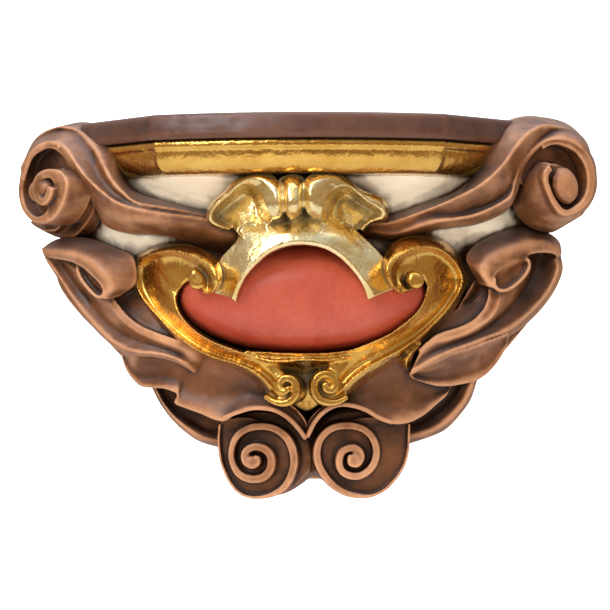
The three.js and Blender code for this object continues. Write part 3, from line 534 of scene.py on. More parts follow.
# Rolls under the arms
LEFT_ROLL = [
    [(42.5, 253, 66), (47, 257, 72), (54, 258.5, 79), (63, 260, 86), (73, 262.5, 92), (83, 268, 97),
        (92, 276, 101), (99.5, 284, 103), (103.5, 292, 104), (102, 298, 102)],
    [(42, 251, 67), (47, 250, 75), (56, 250, 83), (67, 250.5, 91), (79, 253, 97), (92, 259, 102),
        (103, 268, 105), (111, 278, 106), (114, 289, 105), (107, 299, 101)],
    [(43.5, 247, 66), (50.5, 242, 70), (60.5, 238, 75), (75, 236.5, 81), (94, 239.5, 87),
        (115, 248.5, 93), (131, 255, 97), (136, 267, 99), (135, 284, 99), (119, 296, 97)],
]
LEFT_BAND = [
    [(41, 247, 57), (42, 251, 61), (47, 262, 62), (56, 276, 64), (67, 294, 66), (79, 311, 69),
        (88, 322, 73), (96, 331, 77), (104, 339, 81), (113, 346.5, 85), (122, 352, 88), (136, 356, 92),
        (153, 357, 95), (172, 361, 96), (186, 368, 94), (197, 375, 88)],
    [(45, 248, 62), (46, 257, 67), (51, 266, 69), (59.5, 278, 71), (70.5, 295, 73), (82.5, 311.5, 76),
        (91.5, 321.5, 80), (99.5, 330, 84), (107.5, 337.5, 87.5), (116.5, 344, 91), (126.5, 349, 94),
        (140, 352, 97.5), (156, 353.5, 100), (173, 357.5, 101), (186, 364.5, 99), (197, 372, 90)],
    [(60, 250, 64), (58, 258, 68), (64, 266, 69), (74, 280, 71), (85, 294, 73), (95, 306, 77),
        (102.5, 315, 80.5), (110, 323, 84), (118, 330, 87), (127, 335.5, 90), (137, 340, 93),
        (149, 344, 96), (163, 348.5, 98), (178, 354, 99), (190, 361.5, 98), (201, 369, 90)],
    [(80, 257, 76), (76, 267, 79), (80, 277, 81), (86, 286, 84), (94, 293, 86.5), (101, 297.5, 89),
        (107, 301.5, 91), (112, 307.5, 92), (118, 315, 93.5), (126, 323, 95), (136, 330, 97),
        (149, 336.5, 99), (164, 342, 101), (180, 348, 102), (193, 356, 101), (204, 365, 92)],
    [(86, 259, 78), (82, 267, 82), (86, 272, 83), (92, 281, 86), (99, 290, 89), (106, 294.5, 91),
        (112, 297, 92), (117, 303, 93), (123, 310.5, 94), (131, 318.5, 95.5), (141, 325.5, 97.5),
        (154, 331.5, 100), (168, 336.5, 102), (184, 343, 103), (196, 351.5, 102), (207, 361.5, 93)],
]
LEFT_CURL = [(104, 288, 104), (103.5, 294, 103), (99.5, 297, 101), (93.5, 294, 99), (87, 287, 96),
    (81.3, 279, 93.5), (77.8, 270.5, 92), (78.3, 265.5, 92), (83, 266.5, 94.5)]
LEFT_BOWL = [
    [(79, 265.5, 92), (86, 268.5, 94), (93, 274.5, 97), (99, 282.5, 99), (102.5, 290, 100)],
    [(78.5, 268, 90), (86, 275, 92), (92, 281.5, 94), (97, 287.5, 96), (101.5, 293, 99)],
    [(79, 270.5, 90), (83, 279, 91), (88.5, 286.5, 93), (94.5, 292.8, 95), (99.5, 295.5, 98)],
]
RIGHT_ROLL = [
    [(559.5, 257, 66), (552, 253.5, 74), (543, 252.5, 80), (534, 253.5, 86), (524, 257, 91),
        (512.5, 262.5, 96), (502, 269, 100), (495.5, 276, 103), (494, 283, 104), (497, 289, 103)],
    [(561.5, 254, 65), (556, 246, 73), (547, 242, 79), (537, 240, 85), (525, 240.5, 91),
        (509, 245.5, 97), (494, 252.5, 102), (483.5, 261.5, 105), (480, 272, 105), (488, 286.5, 103)],
    [(562, 251, 62), (559, 241, 64), (550, 233.5, 67), (538, 229.5, 70), (525, 225.5, 74),
        (506, 229.5, 79), (487, 237.5, 86), (473, 247, 92), (466.2, 260, 96), (480, 284, 98)],
]
RIGHT_BAND = [
    [(560.5, 248, 56), (561, 256, 61), (563, 268, 62), (559.5, 281, 63), (551.5, 296, 66),
        (540, 311, 69), (526.5, 324, 73), (510.5, 335.5, 79), (494, 341, 85), (475, 348, 91),
        (455, 355, 96), (436, 363, 100), (421, 370, 103), (411, 375, 104)],
    [(556, 248, 60), (556.5, 258, 68), (558, 268, 71), (554.5, 280, 72), (547, 293, 74),
        (535.5, 307, 77), (522, 319.5, 81), (507, 330, 85.5), (491, 336, 90), (473, 343, 95),
        (454, 350, 99.5), (436, 358, 103), (421, 366, 105.5), (411, 371, 106)],
    [(538, 249, 60), (536, 262, 62), (533, 274, 64), (527, 287, 67), (518, 300, 72), (508, 311, 77),
        (497, 321, 82), (486, 329, 87), (474, 335.5, 91), (461, 341, 94.5), (447, 346, 98),
        (434, 351, 100.5), (424, 357, 102.5), (414, 364, 104)],
    [(512, 268, 76), (501, 291, 91), (500.5, 295, 92), (500, 300, 92.5), (498.5, 306, 93),
        (495.5, 312, 93.5), (490, 319, 94.5), (482, 325, 96), (472, 331, 97), (460, 336, 99),
        (449, 339, 101), (438, 341, 102.5), (430, 344, 103.5), (420, 351.5, 104)],
    [(500, 274, 78), (489, 288, 92), (488.5, 292, 93), (488, 297, 93.5), (486.5, 302, 94),
        (484, 308, 94.5), (479.5, 314, 95.5), (473, 320, 96.5), (465, 324.5, 98), (456, 328, 99.5),
        (446, 331, 101), (436, 335, 102.5), (428, 341, 103.5), (418, 350, 104)],
]
RIGHT_CURL = [(494.5, 279, 104), (494.5, 284.5, 104), (498, 289.3, 103), (504, 290.5, 102),
    (511, 288, 100), (519.5, 281.5, 98), (526, 274, 96), (529.3, 266.5, 94), (528, 260, 92),
    (522.5, 259.5, 91)]
RIGHT_BOWL = [
    [(494, 277, 102), (503, 269.5, 99), (512, 264, 96), (520, 260.5, 93), (526, 259.5, 91)],
    [(494, 283, 100), (504, 277, 97), (512, 271, 94), (520, 266, 92), (526, 263, 90)],
    [(496, 288, 100), (506, 287, 97), (515, 281, 94), (522, 274, 92), (527, 267, 90)],
]
LEFT_UNDER = [
    [(133, 270, 84), (138, 286, 87), (147, 300, 90), (160, 318, 94), (178, 335, 98), (205, 352, 102)],
    [(112, 294, 84), (118, 305, 86), (128, 317, 89), (142, 327, 92), (160, 335, 96), (185, 351, 100)],
]
RIGHT_UNDER = [
    [(483, 287, 82), (474, 300, 85), (461, 307, 88), (449, 313, 90), (437, 322, 92), (413, 341, 95)],
    [(492, 292, 84), (488, 306, 87), (478, 317, 90), (461, 326, 93), (445, 333, 96), (424, 346, 99)],
]

# The bow: silhouette, crest of the roll, lip, hollow, and the lit floor that meets the arch
LEFT_BOW = [
    [(229, 231.5, 112), (221, 229.5, 113), (213, 227, 114), (208, 222, 115), (206, 215, 116),
        (208.5, 207, 117), (215.5, 198.5, 118), (224, 191.5, 119), (230, 184, 121), (236, 179, 124),
        (246, 174.5, 128), (257, 171, 132), (268, 172.5, 135), (276, 178, 139.5), (281, 187, 141.5),
        (283, 198, 142.5), (283, 208, 142.5), (281.5, 216, 141), (277, 219.5, 137)],
    [(229, 230, 115), (221, 228, 117), (214, 225, 118), (209.5, 220.5, 119), (208.5, 214.5, 120),
        (211.5, 207, 121), (218.5, 199.5, 122), (227, 192, 124), (233.5, 186, 127), (240.5, 181, 131),
        (250, 178, 136), (260, 178, 140), (268, 182, 143), (273.5, 188, 145), (277, 196, 146),
        (278, 204, 146), (277.5, 211, 145), (275.5, 216.5, 142), (273.5, 219.5, 137)],
    [(230, 229, 116), (222, 226.5, 118), (216, 223, 119), (212, 219.5, 120), (211.5, 214.5, 121),
        (215, 208, 122), (221.5, 201.5, 123), (229.5, 194.5, 125), (235.5, 188.5, 128),
        (241.5, 184.5, 131), (248, 183, 134), (255, 186, 137), (260, 191.5, 140), (263.5, 198, 142),
        (266, 205, 143), (268.5, 210.5, 143), (270.5, 215, 142), (272, 218, 140), (272.5, 219.8, 136)],
    [(233, 227, 113), (226, 224, 112), (221, 221, 111), (218, 218, 110.5), (218.5, 214.5, 110.5),
        (222, 210, 110.5), (228, 205, 111), (234.5, 200, 112), (240, 195.5, 114), (245, 192.5, 117),
        (249.5, 192.5, 120), (253.5, 196, 122.5), (256.5, 201, 124.5), (259, 206.5, 126),
        (261.5, 211.5, 127.5), (264, 216, 129), (266.5, 219.5, 130), (268.5, 222, 131), (270, 223.5, 131)],
    [(238, 231, 114), (234, 229, 112), (231, 226, 111), (230, 223, 110.5), (231, 219.5, 110.5),
        (234, 216, 111), (238, 212.5, 112), (242.5, 209.5, 113), (246.5, 207.5, 114.5),
        (250, 206.5, 117), (252.5, 207.5, 119.5), (254.5, 210.5, 121.5), (256, 213.5, 123),
        (257.5, 216.5, 124.5), (259, 219.5, 126), (261, 222, 127.5), (263, 224, 129), (265, 226, 130),
        (267, 227, 131)],
    [(243, 238, 118), (240, 236, 116), (238, 234, 115), (238, 231.5, 114), (239.5, 228.5, 114),
        (242, 226, 114.5), (245, 224, 115.5), (248, 223, 116.5), (251, 222.5, 118),
        (253.5, 222.5, 119.5), (255.5, 223, 121), (257, 224, 122.5), (258.5, 225, 124),
        (260, 226.5, 125), (261.5, 228, 126.5), (263, 229, 128), (264.5, 230, 129.5), (266, 231, 130.5),
        (268, 231.5, 131.5)],
]
RIGHT_BOW = [
    [(364, 232, 112), (366, 227, 112.5), (373, 223.5, 113.5), (381, 222, 114.5), (386.5, 219, 115),
        (388.5, 212, 116), (387.5, 205, 117), (383, 198.5, 118), (375, 194, 119), (366, 191.5, 120),
        (358, 186.5, 122), (349, 179.5, 126), (340, 174, 130), (329, 171, 133), (318, 171.5, 136),
        (309, 175.5, 140.5), (303.5, 183, 142), (302.5, 194, 143), (304, 205, 143), (308, 213.5, 141),
        (314, 218.8, 137)],
    [(363, 231, 114), (366.5, 226, 115), (373, 222, 116.5), (380, 220, 118), (384, 217, 119),
        (385.5, 212, 120), (383.5, 206.5, 121), (378, 201, 122), (370.5, 197, 123), (362.5, 193.5, 125),
        (354.5, 188, 128), (346, 182.5, 132), (338, 178.5, 137), (329, 177, 141), (320, 179.5, 144),
        (314, 185, 146), (311, 192.5, 147), (311, 201, 147), (312.5, 208.5, 145.5), (314.5, 214.5, 142),
        (317, 218.8, 137)],
    [(361, 230, 115), (365, 225, 116), (371.5, 220.5, 117.5), (377.5, 218, 119), (381.5, 215.5, 120),
        (381.5, 211.5, 121), (377.5, 207.5, 122), (371, 203.5, 123), (364.5, 199, 124),
        (358, 193.5, 126), (351.5, 188, 129), (345, 186, 132.5), (338.5, 187, 136.5),
        (332.5, 190, 139.5), (328, 194.5, 142), (325, 200.5, 143.5), (323, 206.5, 144),
        (322, 211, 143.5), (321, 215, 142), (319.5, 218, 139.5), (318, 219.3, 136)],
    [(357, 229, 113), (360.5, 224, 112.5), (365.5, 219, 112), (370, 216.5, 112), (373, 214.5, 111.5),
        (373, 211.5, 111), (369.5, 208.5, 111), (364, 205.5, 111), (358.5, 202, 111.5),
        (353.5, 198, 113), (349, 194.5, 115.5), (344.5, 193.5, 118), (340.5, 195.5, 120.5),
        (337, 199, 123), (334, 203.5, 125), (331.5, 208, 126.5), (329.5, 212.5, 128), (328, 216.5, 129),
        (326.5, 219.5, 130), (324.5, 222, 131), (322, 223.5, 131)],
    [(351, 232, 115), (354, 227, 114), (358, 223, 113), (361, 220.5, 112.5), (363, 218.5, 112),
        (362.5, 216, 112), (359.5, 213.5, 112), (355.5, 211, 112.5), (351.5, 208.5, 113.5),
        (348, 206.5, 115), (344.5, 205.5, 117), (341.5, 206, 119), (339, 208.5, 121),
        (336.5, 211.5, 122.5), (334.5, 214.5, 124), (332.5, 217.5, 125.5), (331, 220, 127),
        (329.5, 222.5, 128), (328, 224.5, 129.5), (326, 226, 130.5), (323.5, 227, 131)],
    [(346, 238, 119), (348, 235, 118), (350, 232, 117), (351.5, 229.5, 116), (352.5, 227.5, 115.5),
        (352, 226, 115.5), (350, 225, 115.5), (348, 224, 116), (346, 223, 117), (344, 222.5, 118),
        (342, 222.5, 119.5), (340, 223, 121), (338, 224, 122), (336.5, 225, 123.5), (335, 226.5, 124.5),
        (333.5, 228, 126), (332, 229, 127.5), (331, 230, 128.5), (329.5, 230.5, 130), (327.5, 231, 131),
        (325, 231.5, 131.5)],
]
KNOT = [
    [(279, 179, 138), (282, 187, 141), (283.5, 196, 143), (284, 206, 143), (286, 214, 141),
        (289, 218.5, 136)],
    [(284, 176, 139), (286, 184, 145.5), (287, 194, 148), (287, 205, 148.5), (288.5, 213.5, 146),
        (290, 219, 138)],
    [(291.5, 174, 139), (292.5, 182, 146), (293, 192, 148.5), (293, 204, 149.5), (292.5, 213, 147),
        (292.5, 219.2, 139)],
    [(299, 175, 139), (299, 184, 145.5), (299, 194, 148), (298.5, 205, 148.5), (297, 213.5, 146),
        (295.5, 219, 138)],
    [(304.5, 178, 138), (303.5, 187, 141), (303, 196, 143), (302.5, 206, 143), (300.5, 214, 141),
        (297, 218.5, 136)],
]
LEFT_BUTTON = [(187, 277), (193, 269), (199, 271.5), (204.5, 278), (205.5, 286), (200, 290), (192, 288)]
RIGHT_BUTTON = [(406, 281), (409, 273), (416, 271.5), (423, 276), (424, 283), (419, 288.5), (411, 288)]
LEFT_FOOT_HUB = [(248.5, 456), (255, 455.5), (260.5, 459), (260.5, 464.5), (256, 468), (250, 467.5),
    (246.5, 462)]
RIGHT_FOOT_HUB = [(349, 455), (354, 452.5), (360, 455), (361, 461), (356.5, 465.5), (350.5, 465),
    (347, 460.5)]
LEFT_LIP = [(223, 418, 98), (238, 412, 102), (254, 408, 105.5), (272, 409.5, 106), (286, 416.5, 103),
    (297, 427, 98), (306, 439, 91)]
RIGHT_LIP = [(392, 422.5, 97), (379, 417.5, 100), (366, 410, 103.5), (352, 405.5, 105.5),
    (338, 405, 106), (325, 411, 103), (315, 421.5, 98), (307, 437, 91)]
NAPE = [
    [(278, 368, 108), (292, 374, 106), (306, 376, 105), (320, 373, 106), (333, 367, 108)],
    [(286, 388, 104), (297, 392, 101), (306, 393, 99), (316, 391, 101), (326, 386, 104)],
    [(292, 404, 98), (300, 409, 95), (307, 411, 93), (314, 408, 95), (321, 403, 98)],
]
LEFT_EYE = [(264, 396.5, 4.1), (274, 402, 5.4), (283, 403.5, 6.8), (291, 400.5, 7.4), (295.5, 393, 7.4),
    (295.3, 384.5, 7.4), (290, 379, 7.4), (283, 379, 7.4), (279.3, 384, 6.8), (280, 389.5, 6.8),
    (284, 392, 6.1), (287.5, 389.5, 5.4), (287, 386.5, 4.1)]
RIGHT_EYE = [(348, 397, 4.1), (338, 402, 5.4), (328, 402.5, 6.8), (319.5, 399, 7.4), (315, 391, 7.4),
    (315, 382.5, 7.4), (320, 376, 7.4), (328, 374.3, 7.4), (334.5, 378, 7.4), (336, 385, 6.8),
    (332, 390.5, 6.8), (326.5, 389.5, 6.1), (325, 385.5, 5.4), (328, 383.5, 4.1)]
LEFT_EYE_FACE = [(275, 390), (277.5, 381), (286, 376), (295, 379), (299.5, 388), (297, 398), (289, 404),
    (279, 402)]
RIGHT_EYE_FACE = [(312, 388), (315.5, 378), (325, 372.5), (335, 375.5), (339.5, 385), (336.5, 396),
    (328, 403.5), (317, 399)]
LEFT_WING = [
    [(84, 222, 62), (94, 217, 73), (108, 214, 83), (130, 216, 91), (178, 222, 94)],
    [(82, 248, 60), (92, 252, 70), (108, 256, 78), (130, 262, 82), (160, 262, 92)],
]
RIGHT_WING = [
    [(534, 212, 60), (522, 203, 70), (506, 198, 80), (488, 200, 87), (450, 208, 88)],
    [(536, 236, 58), (524, 238, 65), (506, 244, 73), (488, 250, 78), (462, 258, 74)],
]
RIGHT_SLIVER = [
    [(460, 262, 80), (466, 280, 80), (464, 298, 80), (456, 314, 82)],
    [(488, 262, 76), (488, 280, 76), (482, 300, 76), (468, 316, 80)],
]
LEAF_TIP = [
    [(409, 352, 108), (404, 358, 108), (399, 362, 104), (402.5, 367, 102), (407.5, 370, 99)],
    [(415, 348, 112), (410.5, 354.5, 112), (406.5, 361, 110), (406.5, 366, 106), (408, 370.3, 100)],
    [(422, 343, 104), (417.5, 349, 105), (413.5, 356, 105), (410.5, 364, 103), (408.6, 370.6, 99)],
]


def filled(face, centre, turn, deep, thick):
    """The ground inside a spiral, this deep behind its rim."""
    return drum(face, centre, turn, [(deep, -1.5), (deep, 0), (deep + thick, 0)])


def spiral(line, centre, turn, rise, deep, steps=260):
    """A spiral band from its middle line and width in the picture."""
    p = np.array(line, float)
    along = np.gradient(p[:, :2], axis=0)
    side = np.stack([along[:, 1], -along[:, 0]], 1)
    side *= p[:, 2:] / 2 / np.linalg.norm(side, axis=1, keepdims=True)
    return rim(p[:, :2] + side, p[:, :2] - side, centre, turn, rise, deep, steps, 0.6)


def lifted(rails, lifts):
    """Rails whose first ends stand further out by these lifts, which fade along them."""
    raised = []
    for rail, lift in zip(rails, lifts):
        p = np.array(rail, float)
        gone = np.clip((np.linspace(0, 1, len(p)) - 0.3) / 0.45, 0, 1)
        p[:, 2] += lift * (1 - gone**2 * (3 - 2 * gone))
        raised.append(p)
    return raised


def tucked(rails, drops, inward):
    """Rails whose first stations lie deeper by these drops, led further in behind the bow."""
    lowered = []
    for rail in rails:
        p = np.array(rail, float)
        p[: len(drops), 1] -= drops
        lead = p[0] + [inward, -6, -1]
        lowered.append(np.concatenate([[lead], p]))
    return lowered


def edging(line, width, deep, steps=90):
    """A narrow raised edge along a line of the picture."""
    p = np.array(line, float)
    along = np.gradient(p[:, :2], axis=0)
    side = np.stack([along[:, 1], -along[:, 0]], 1) * width / 2
    side /= np.linalg.norm(along, axis=1, keepdims=True)
    a, b = p.copy(), p.copy()
    a[:, :2] += side
    b[:, :2] -= side
    a, b = spline(seen(a), steps), spline(seen(b), steps)
    back, soft = np.array([0, deep, 0]), np.array([0, 0.5, 0])
    return tube(np.stack([a - back, a - soft, 0.8 * a + 0.2 * b, 0.2 * a + 0.8 * b, b - soft, b - back], 1))


def sheet_of(rails, steps, floor, creases=()):
    """A carved surface through rails of the picture."""
    return relief(through(*rails), steps, floor, creases=creases)


# Meshes

def signed_volume(verts, faces):
    a, b, c, d = (verts[faces[:, k]] for k in range(4))
    return np.einsum("ij,ij->", a, np.cross(b, c)) + np.einsum("ij,ij->", a, np.cross(c, d))


def join(parts):
    """All the parts in metres, with their faces pointing out."""
    verts, faces, start = [], [], 0
    for v, f in parts:
        v = np.array(v, float) * [1, -1, 1] / 1000
        f = np.array(f)
        if signed_volume(v, f) < 0:
            f = f[:, ::-1]
        verts.append(v)
        faces.append(f + start)
        start += len(v)
    return np.concatenate(verts), np.concatenate(faces)


def mesh_of(name, parts):
    """An object of the parts as they are, one skin inside another."""
    verts, faces = join(parts)
    mesh = bpy.data.meshes.new(name)
    flat = [[a for k, a in enumerate(f) if a != f[k - 1]] for f in faces.tolist()]
    mesh.from_pydata(verts.tolist(), [], flat)
    mesh.validate()
    piece = bpy.data.objects.new(name, mesh)
    bpy.context.scene.collection.objects.link(piece)
    return piece


def edges_of(mesh):
    pairs = np.zeros(len(mesh.edges) * 2, int)
    mesh.edges.foreach_get("vertices", pairs)
    return pairs.reshape(-1, 2)


def averaged(values, pairs, rounds, weight=0.5):
    """Values moved towards the mean of their neighbours."""
    count = np.bincount(pairs.ravel(), minlength=len(values)).clip(1)
    for _ in range(rounds):
        total = np.stack([
            np.bincount(pairs[:, 0], column[pairs[:, 1]], len(values))
            + np.bincount(pairs[:, 1], column[pairs[:, 0]], len(values))
            for column in values.T
        ], -1)
        values = values + weight * (total / count[:, None] - values)
    return values


def points_of(mesh):
    co = np.zeros(len(mesh.vertices) * 3)
    mesh.vertices.foreach_get("co", co)
    return co.reshape(-1, 3)


def normals_of(mesh):
    n = np.zeros(len(mesh.vertices) * 3)
    mesh.vertex_normals.foreach_get("vector", n)
    return n.reshape(-1, 3)


def carved(name, parts, voxel=0.8, soften=2):
    """One skin round all the parts, a little softened as by a scraper. The voxel is in millimetres."""
    piece = mesh_of(name, parts)
    modifier = piece.modifiers.new("skin", "REMESH")
    modifier.mode = "VOXEL"
    modifier.voxel_size = voxel / 1000
    graph = bpy.context.evaluated_depsgraph_get()
    mesh = bpy.data.meshes.new_from_object(piece.evaluated_get(graph))
    piece.modifiers.clear()
    piece.data = mesh
    pairs = edges_of(mesh)
    co = points_of(mesh)
    for _ in range(soften):
        co = averaged(co, pairs, 1, 0.5)
        co = averaged(co, pairs, 1, -0.52)
    mesh.vertices.foreach_set("co", co.ravel())
    mesh.shade_smooth()
    return piece


def add_attribute(piece, name, values):
    attribute = piece.data.attributes.new(name, "FLOAT", "POINT")
    attribute.data.foreach_set("value", values.astype(np.float32))


def mark_ridges(piece, rounds=14, size=0.00035):
    """Worn ridges are positive and hollows negative."""
    mesh = piece.data
    pairs, co = edges_of(mesh), points_of(mesh)
    out = np.einsum("ij,ij->i", co - averaged(co, pairs, rounds), normals_of(mesh))
    out = averaged(out[:, None], pairs, 2)[:, 0]
    add_attribute(piece, "ridge", np.clip(out / size, -3, 3))


def mark_hollows(pieces, directions=48, pixel=0.0013, slack=0.0012):
    """How much of the open room each point sees, from 0 to 1, by height maps seen from all round."""
    reach, row, inward = 0.5, 2000, 0.15
    co = np.concatenate([points_of(p.data) for p in pieces])
    normal = np.concatenate([normals_of(p.data) for p in pieces])
    seen, total = np.zeros(len(co)), np.zeros(len(co))
    golden = math.pi * (3 - math.sqrt(5))
    for k in range(directions):
        z = 1 - 2 * (k + 0.5) / directions
        ring = math.sqrt(1 - z * z)
        d = np.array([ring * math.cos(golden * k), ring * math.sin(golden * k), z])
        if d[1] > inward:
            continue
        u = np.cross(d, [0.3, 0.9, 0.1])
        u /= np.linalg.norm(u)
        v = np.cross(d, u)
        a = ((co @ u + reach) / pixel).astype(int)
        b = ((co @ v + reach) / pixel).astype(int)
        cell = a * row + b
        height = co @ d
        top = np.full(cell.max() + 1, -9.0)
        np.maximum.at(top, cell, height)
        facing = (normal @ d).clip(0)
        slope = np.sqrt(1 - facing.clip(0.05, 1) ** 2) / facing.clip(0.05, 1)
        clear = height > top[cell] - slack - pixel * slope
        seen += facing * clear
        total += facing
    share = seen / total.clip(1e-6)
    start = 0
    for p in pieces:
        count = len(p.data.vertices)
        part = averaged(share[start : start + count, None], edges_of(p.data), 3)[:, 0]
        add_attribute(p, "open", part)
        start += count


def thinned(piece, share):
    """Fewer triangles, mostly on the plain stretches."""
    modifier = piece.modifiers.new("thin", "DECIMATE")
    modifier.ratio = share
    graph = bpy.context.evaluated_depsgraph_get()
    mesh = bpy.data.meshes.new_from_object(
        piece.evaluated_get(graph), preserve_all_data_layers=True, depsgraph=graph)
    piece.modifiers.clear()
    piece.data = mesh


# Materials

class Nodes:
    """A small writer of shader graphs."""

    def __init__(self, name):
        self.material = bpy.data.materials.new(name)
        self.material.use_nodes = True
        self.tree = self.material.node_tree
        self.shader = self.tree.nodes["Principled BSDF"]
        self.place = self.add("ShaderNodeTexCoord").outputs["Object"]

    def add(self, kind, **settings):
        node = self.tree.nodes.new(kind)
        for key, value in settings.items():
            setattr(node, key, value)
        return node

    def link(self, source, socket):
        if isinstance(source, (int, float)):
            socket.default_value = source
        elif isinstance(source, tuple):
            socket.default_value = (*source, 1) if len(source) == 3 else source
        else:
            self.tree.links.new(source, socket)

    def attribute(self, name):
        return self.add("ShaderNodeAttribute", attribute_name=name).outputs["Fac"]

    def noise(self, scale, detail=3, rough=0.55, stretch=None, distortion=0):
        node = self.add("ShaderNodeTexNoise")
        place = self.place
        if stretch:
            mapping = self.add("ShaderNodeMapping")
            mapping.inputs["Scale"].default_value = stretch
            self.link(place, mapping.inputs["Vector"])
            place = mapping.outputs["Vector"]
        self.link(place, node.inputs["Vector"])
        node.inputs["Scale"].default_value = scale
        node.inputs["Detail"].default_value = detail
        node.inputs["Roughness"].default_value = rough
        node.inputs["Distortion"].default_value = distortion
        return node.outputs["Fac"]

    def facets(self, scale):
        node = self.add("ShaderNodeTexVoronoi", feature="SMOOTH_F1")
        self.link(self.place, node.inputs["Vector"])
        node.inputs["Scale"].default_value = scale
        return node.outputs["Distance"]

    def math(self, operation, a, b=0.0, clamp=False):
        node = self.add("ShaderNodeMath", operation=operation, use_clamp=clamp)
        self.link(a, node.inputs[0])
        self.link(b, node.inputs[1])
        return node.outputs[0]

    def spread(self, value, low, high, to_low=0.0, to_high=1.0):
        node = self.add("ShaderNodeMapRange", clamp=True)
        self.link(value, node.inputs["Value"])
        sockets = {"From Min": low, "From Max": high, "To Min": to_low, "To Max": to_high}
        for socket, number in sockets.items():
            self.link(number, node.inputs[socket])
        return node.outputs["Result"]

    def mix(self, share, a, b):
        node = self.add("ShaderNodeMix", data_type="RGBA")
        self.link(share, node.inputs["Factor"])
        self.link(a, node.inputs[6])
        self.link(b, node.inputs[7])
        return node.outputs[2]

    def ramp(self, value, stops):
        node = self.add("ShaderNodeValToRGB")
        self.link(value, node.inputs["Fac"])
        elements = node.color_ramp.elements
        while len(elements) < len(stops):
            elements.new(0.5)
        for element, (place, colour) in zip(elements, stops):
            element.position = place
            element.color = (*colour, 1)
        return node.outputs["Color"]

    def bump(self, height, strength, distance, normal=None):
        node = self.add("ShaderNodeBump")
        self.link(height, node.inputs["Height"])
        node.inputs["Strength"].default_value = strength
        node.inputs["Distance"].default_value = distance
        if normal is not None:
            self.link(normal, node.inputs["Normal"])
        return node.outputs["Normal"]

    def finish(self, **sockets):
        names = {
            "colour": "Base Color", "rough": "Roughness", "metal": "Metallic", "normal": "Normal",
            "specular_level": "Specular IOR Level", "coat": "Coat Weight", "coat_rough": "Coat Roughness",
        }
        for key, value in sockets.items():
            self.link(value, self.shader.inputs[names[key]])
        return self.material


# Bluish grey of a painted sheen that stands in for light from above on up-facing wood
PAINTED_SHEEN = (0.25, 0.205, 0.20)
RED_CLAY = (0.62, 0.25, 0.09)
PATINA = (0.035, 0.02, 0.008)
# Near-black of the painted shade in the cream's corners
CORNER_SHADE = (0.06, 0.03, 0.015)


def wood_material(name, dark, mid, light, warm, sheen_share, rough):
    """Stained wood: light on worn ridges, dark in the hollows, with grain, warm patches and gouge marks;
    painted light and shade by how open each point is, painted shade in the crevices, and a painted bluish
    sheen on up-facing surfaces.
    """
    n = Nodes(name)
    ridge, open_ = n.attribute("ridge"), n.attribute("open")
    cloud = n.noise(55, 4, 0.6)
    broad = n.noise(21, 3, 0.5)
    grain = n.noise(160, 5, 0.65, stretch=(0.25, 1, 1.6), distortion=0.4)
    tone = n.math("ADD", n.math("MULTIPLY", ridge, 0.43), 0.355)
    for source, weight in ((cloud, 0.75), (broad, 0.6), (grain, 0.22)):
        tone = n.math("ADD", tone, n.math("MULTIPLY", n.math("SUBTRACT", source, 0.5), weight))
    # Painted light and shade: lighter where a point sees much open room, darker where it sees little
    tone = n.math("ADD", tone, n.math("MULTIPLY", n.math("SUBTRACT", open_, 0.65), 0.5), clamp=True)
    half = tuple(0.5 * (a + b) for a, b in zip(mid, light))
    colour = n.ramp(tone, [(0.05, dark), (0.40, mid), (0.60, half), (0.86, light)])
    patches = n.spread(n.noise(34, 4, 0.55), 0.5, 0.68)
    colour = n.mix(n.math("MULTIPLY", patches, 0.4), colour, warm)
    # Painted sheen: up-facing surfaces drift towards a bluish grey, in place of the light from above
    facing = n.add("ShaderNodeSeparateXYZ")
    n.link(n.add("ShaderNodeNewGeometry").outputs["Normal"], facing.inputs[0])
    upward = n.spread(facing.outputs["Z"], 0.05, 0.8)
    sheen_mask = n.math("MULTIPLY", upward, n.spread(n.noise(45, 3, 0.5), 0.35, 0.6, 0.35, 1))
    colour = n.mix(n.math("MULTIPLY", sheen_mask, sheen_share), colour, PAINTED_SHEEN)
    # Painted shade: crevices that see little open room darken towards the darkest stain
    crevice_shade = n.spread(open_, 0.04, 0.3, 1, 0)
    colour = n.mix(n.math("MULTIPLY", crevice_shade, 0.85), colour, dark)
    tool = n.bump(n.facets(125), 0.42, 0.0018)
    normal = n.bump(grain, 0.18, 0.0006, tool)
    shine = n.spread(cloud, 0.3, 0.7, rough - 0.07, rough + 0.08)
    return n.finish(colour=colour, rough=shine, normal=normal, specular_level=0.35)


def gold_material(name, thin, thick):
    """Gold leaf: clay shows on worn ridges, patina in the hollows and in specks, fine creases all over."""
    n = Nodes(name)
    ridge, open_ = n.attribute("ridge"), n.attribute("open")
    cloud = n.noise(70, 4, 0.6)
    crease = n.noise(330, 5, 0.6, distortion=0.6)
    speck = n.noise(900, 3, 0.7)
    colour = n.mix(n.spread(cloud, 0.35, 0.7), thin, thick)
    worn = n.math("MULTIPLY", n.spread(ridge, 0.6, 1.8), n.spread(crease, 0.5, 0.62))
    colour = n.mix(n.math("MULTIPLY", worn, 0.25), colour, RED_CLAY)
    deep = n.spread(open_, 0.15, 0.42, 1, 0)
    hollow = n.math("MULTIPLY", n.spread(ridge, -0.4, -1.6), 0.45)
    spots = n.math("MULTIPLY", n.spread(speck, 0.57, 0.66), n.spread(open_, 0.85, 0.5))
    patina = n.math("MAXIMUM", deep, n.math("MAXIMUM", hollow, n.math("MULTIPLY", spots, 0.55)))
    colour = n.mix(n.math("MULTIPLY", patina, 0.9), colour, PATINA)
    rough = n.spread(n.math("ADD", n.math("MULTIPLY", crease, 0.5), patina), 0.1, 1.2, 0.2, 0.62)
    metal = n.spread(patina, 0.2, 1.0, 1.0, 0.35)
    normal = n.bump(n.noise(110, 3, 0.55, distortion=0.4), 0.5, 0.0018)
    normal = n.bump(crease, 0.22, 0.0006, normal)
    return n.finish(colour=colour, rough=rough, metal=metal, normal=normal, coat=0.5, coat_rough=0.28)


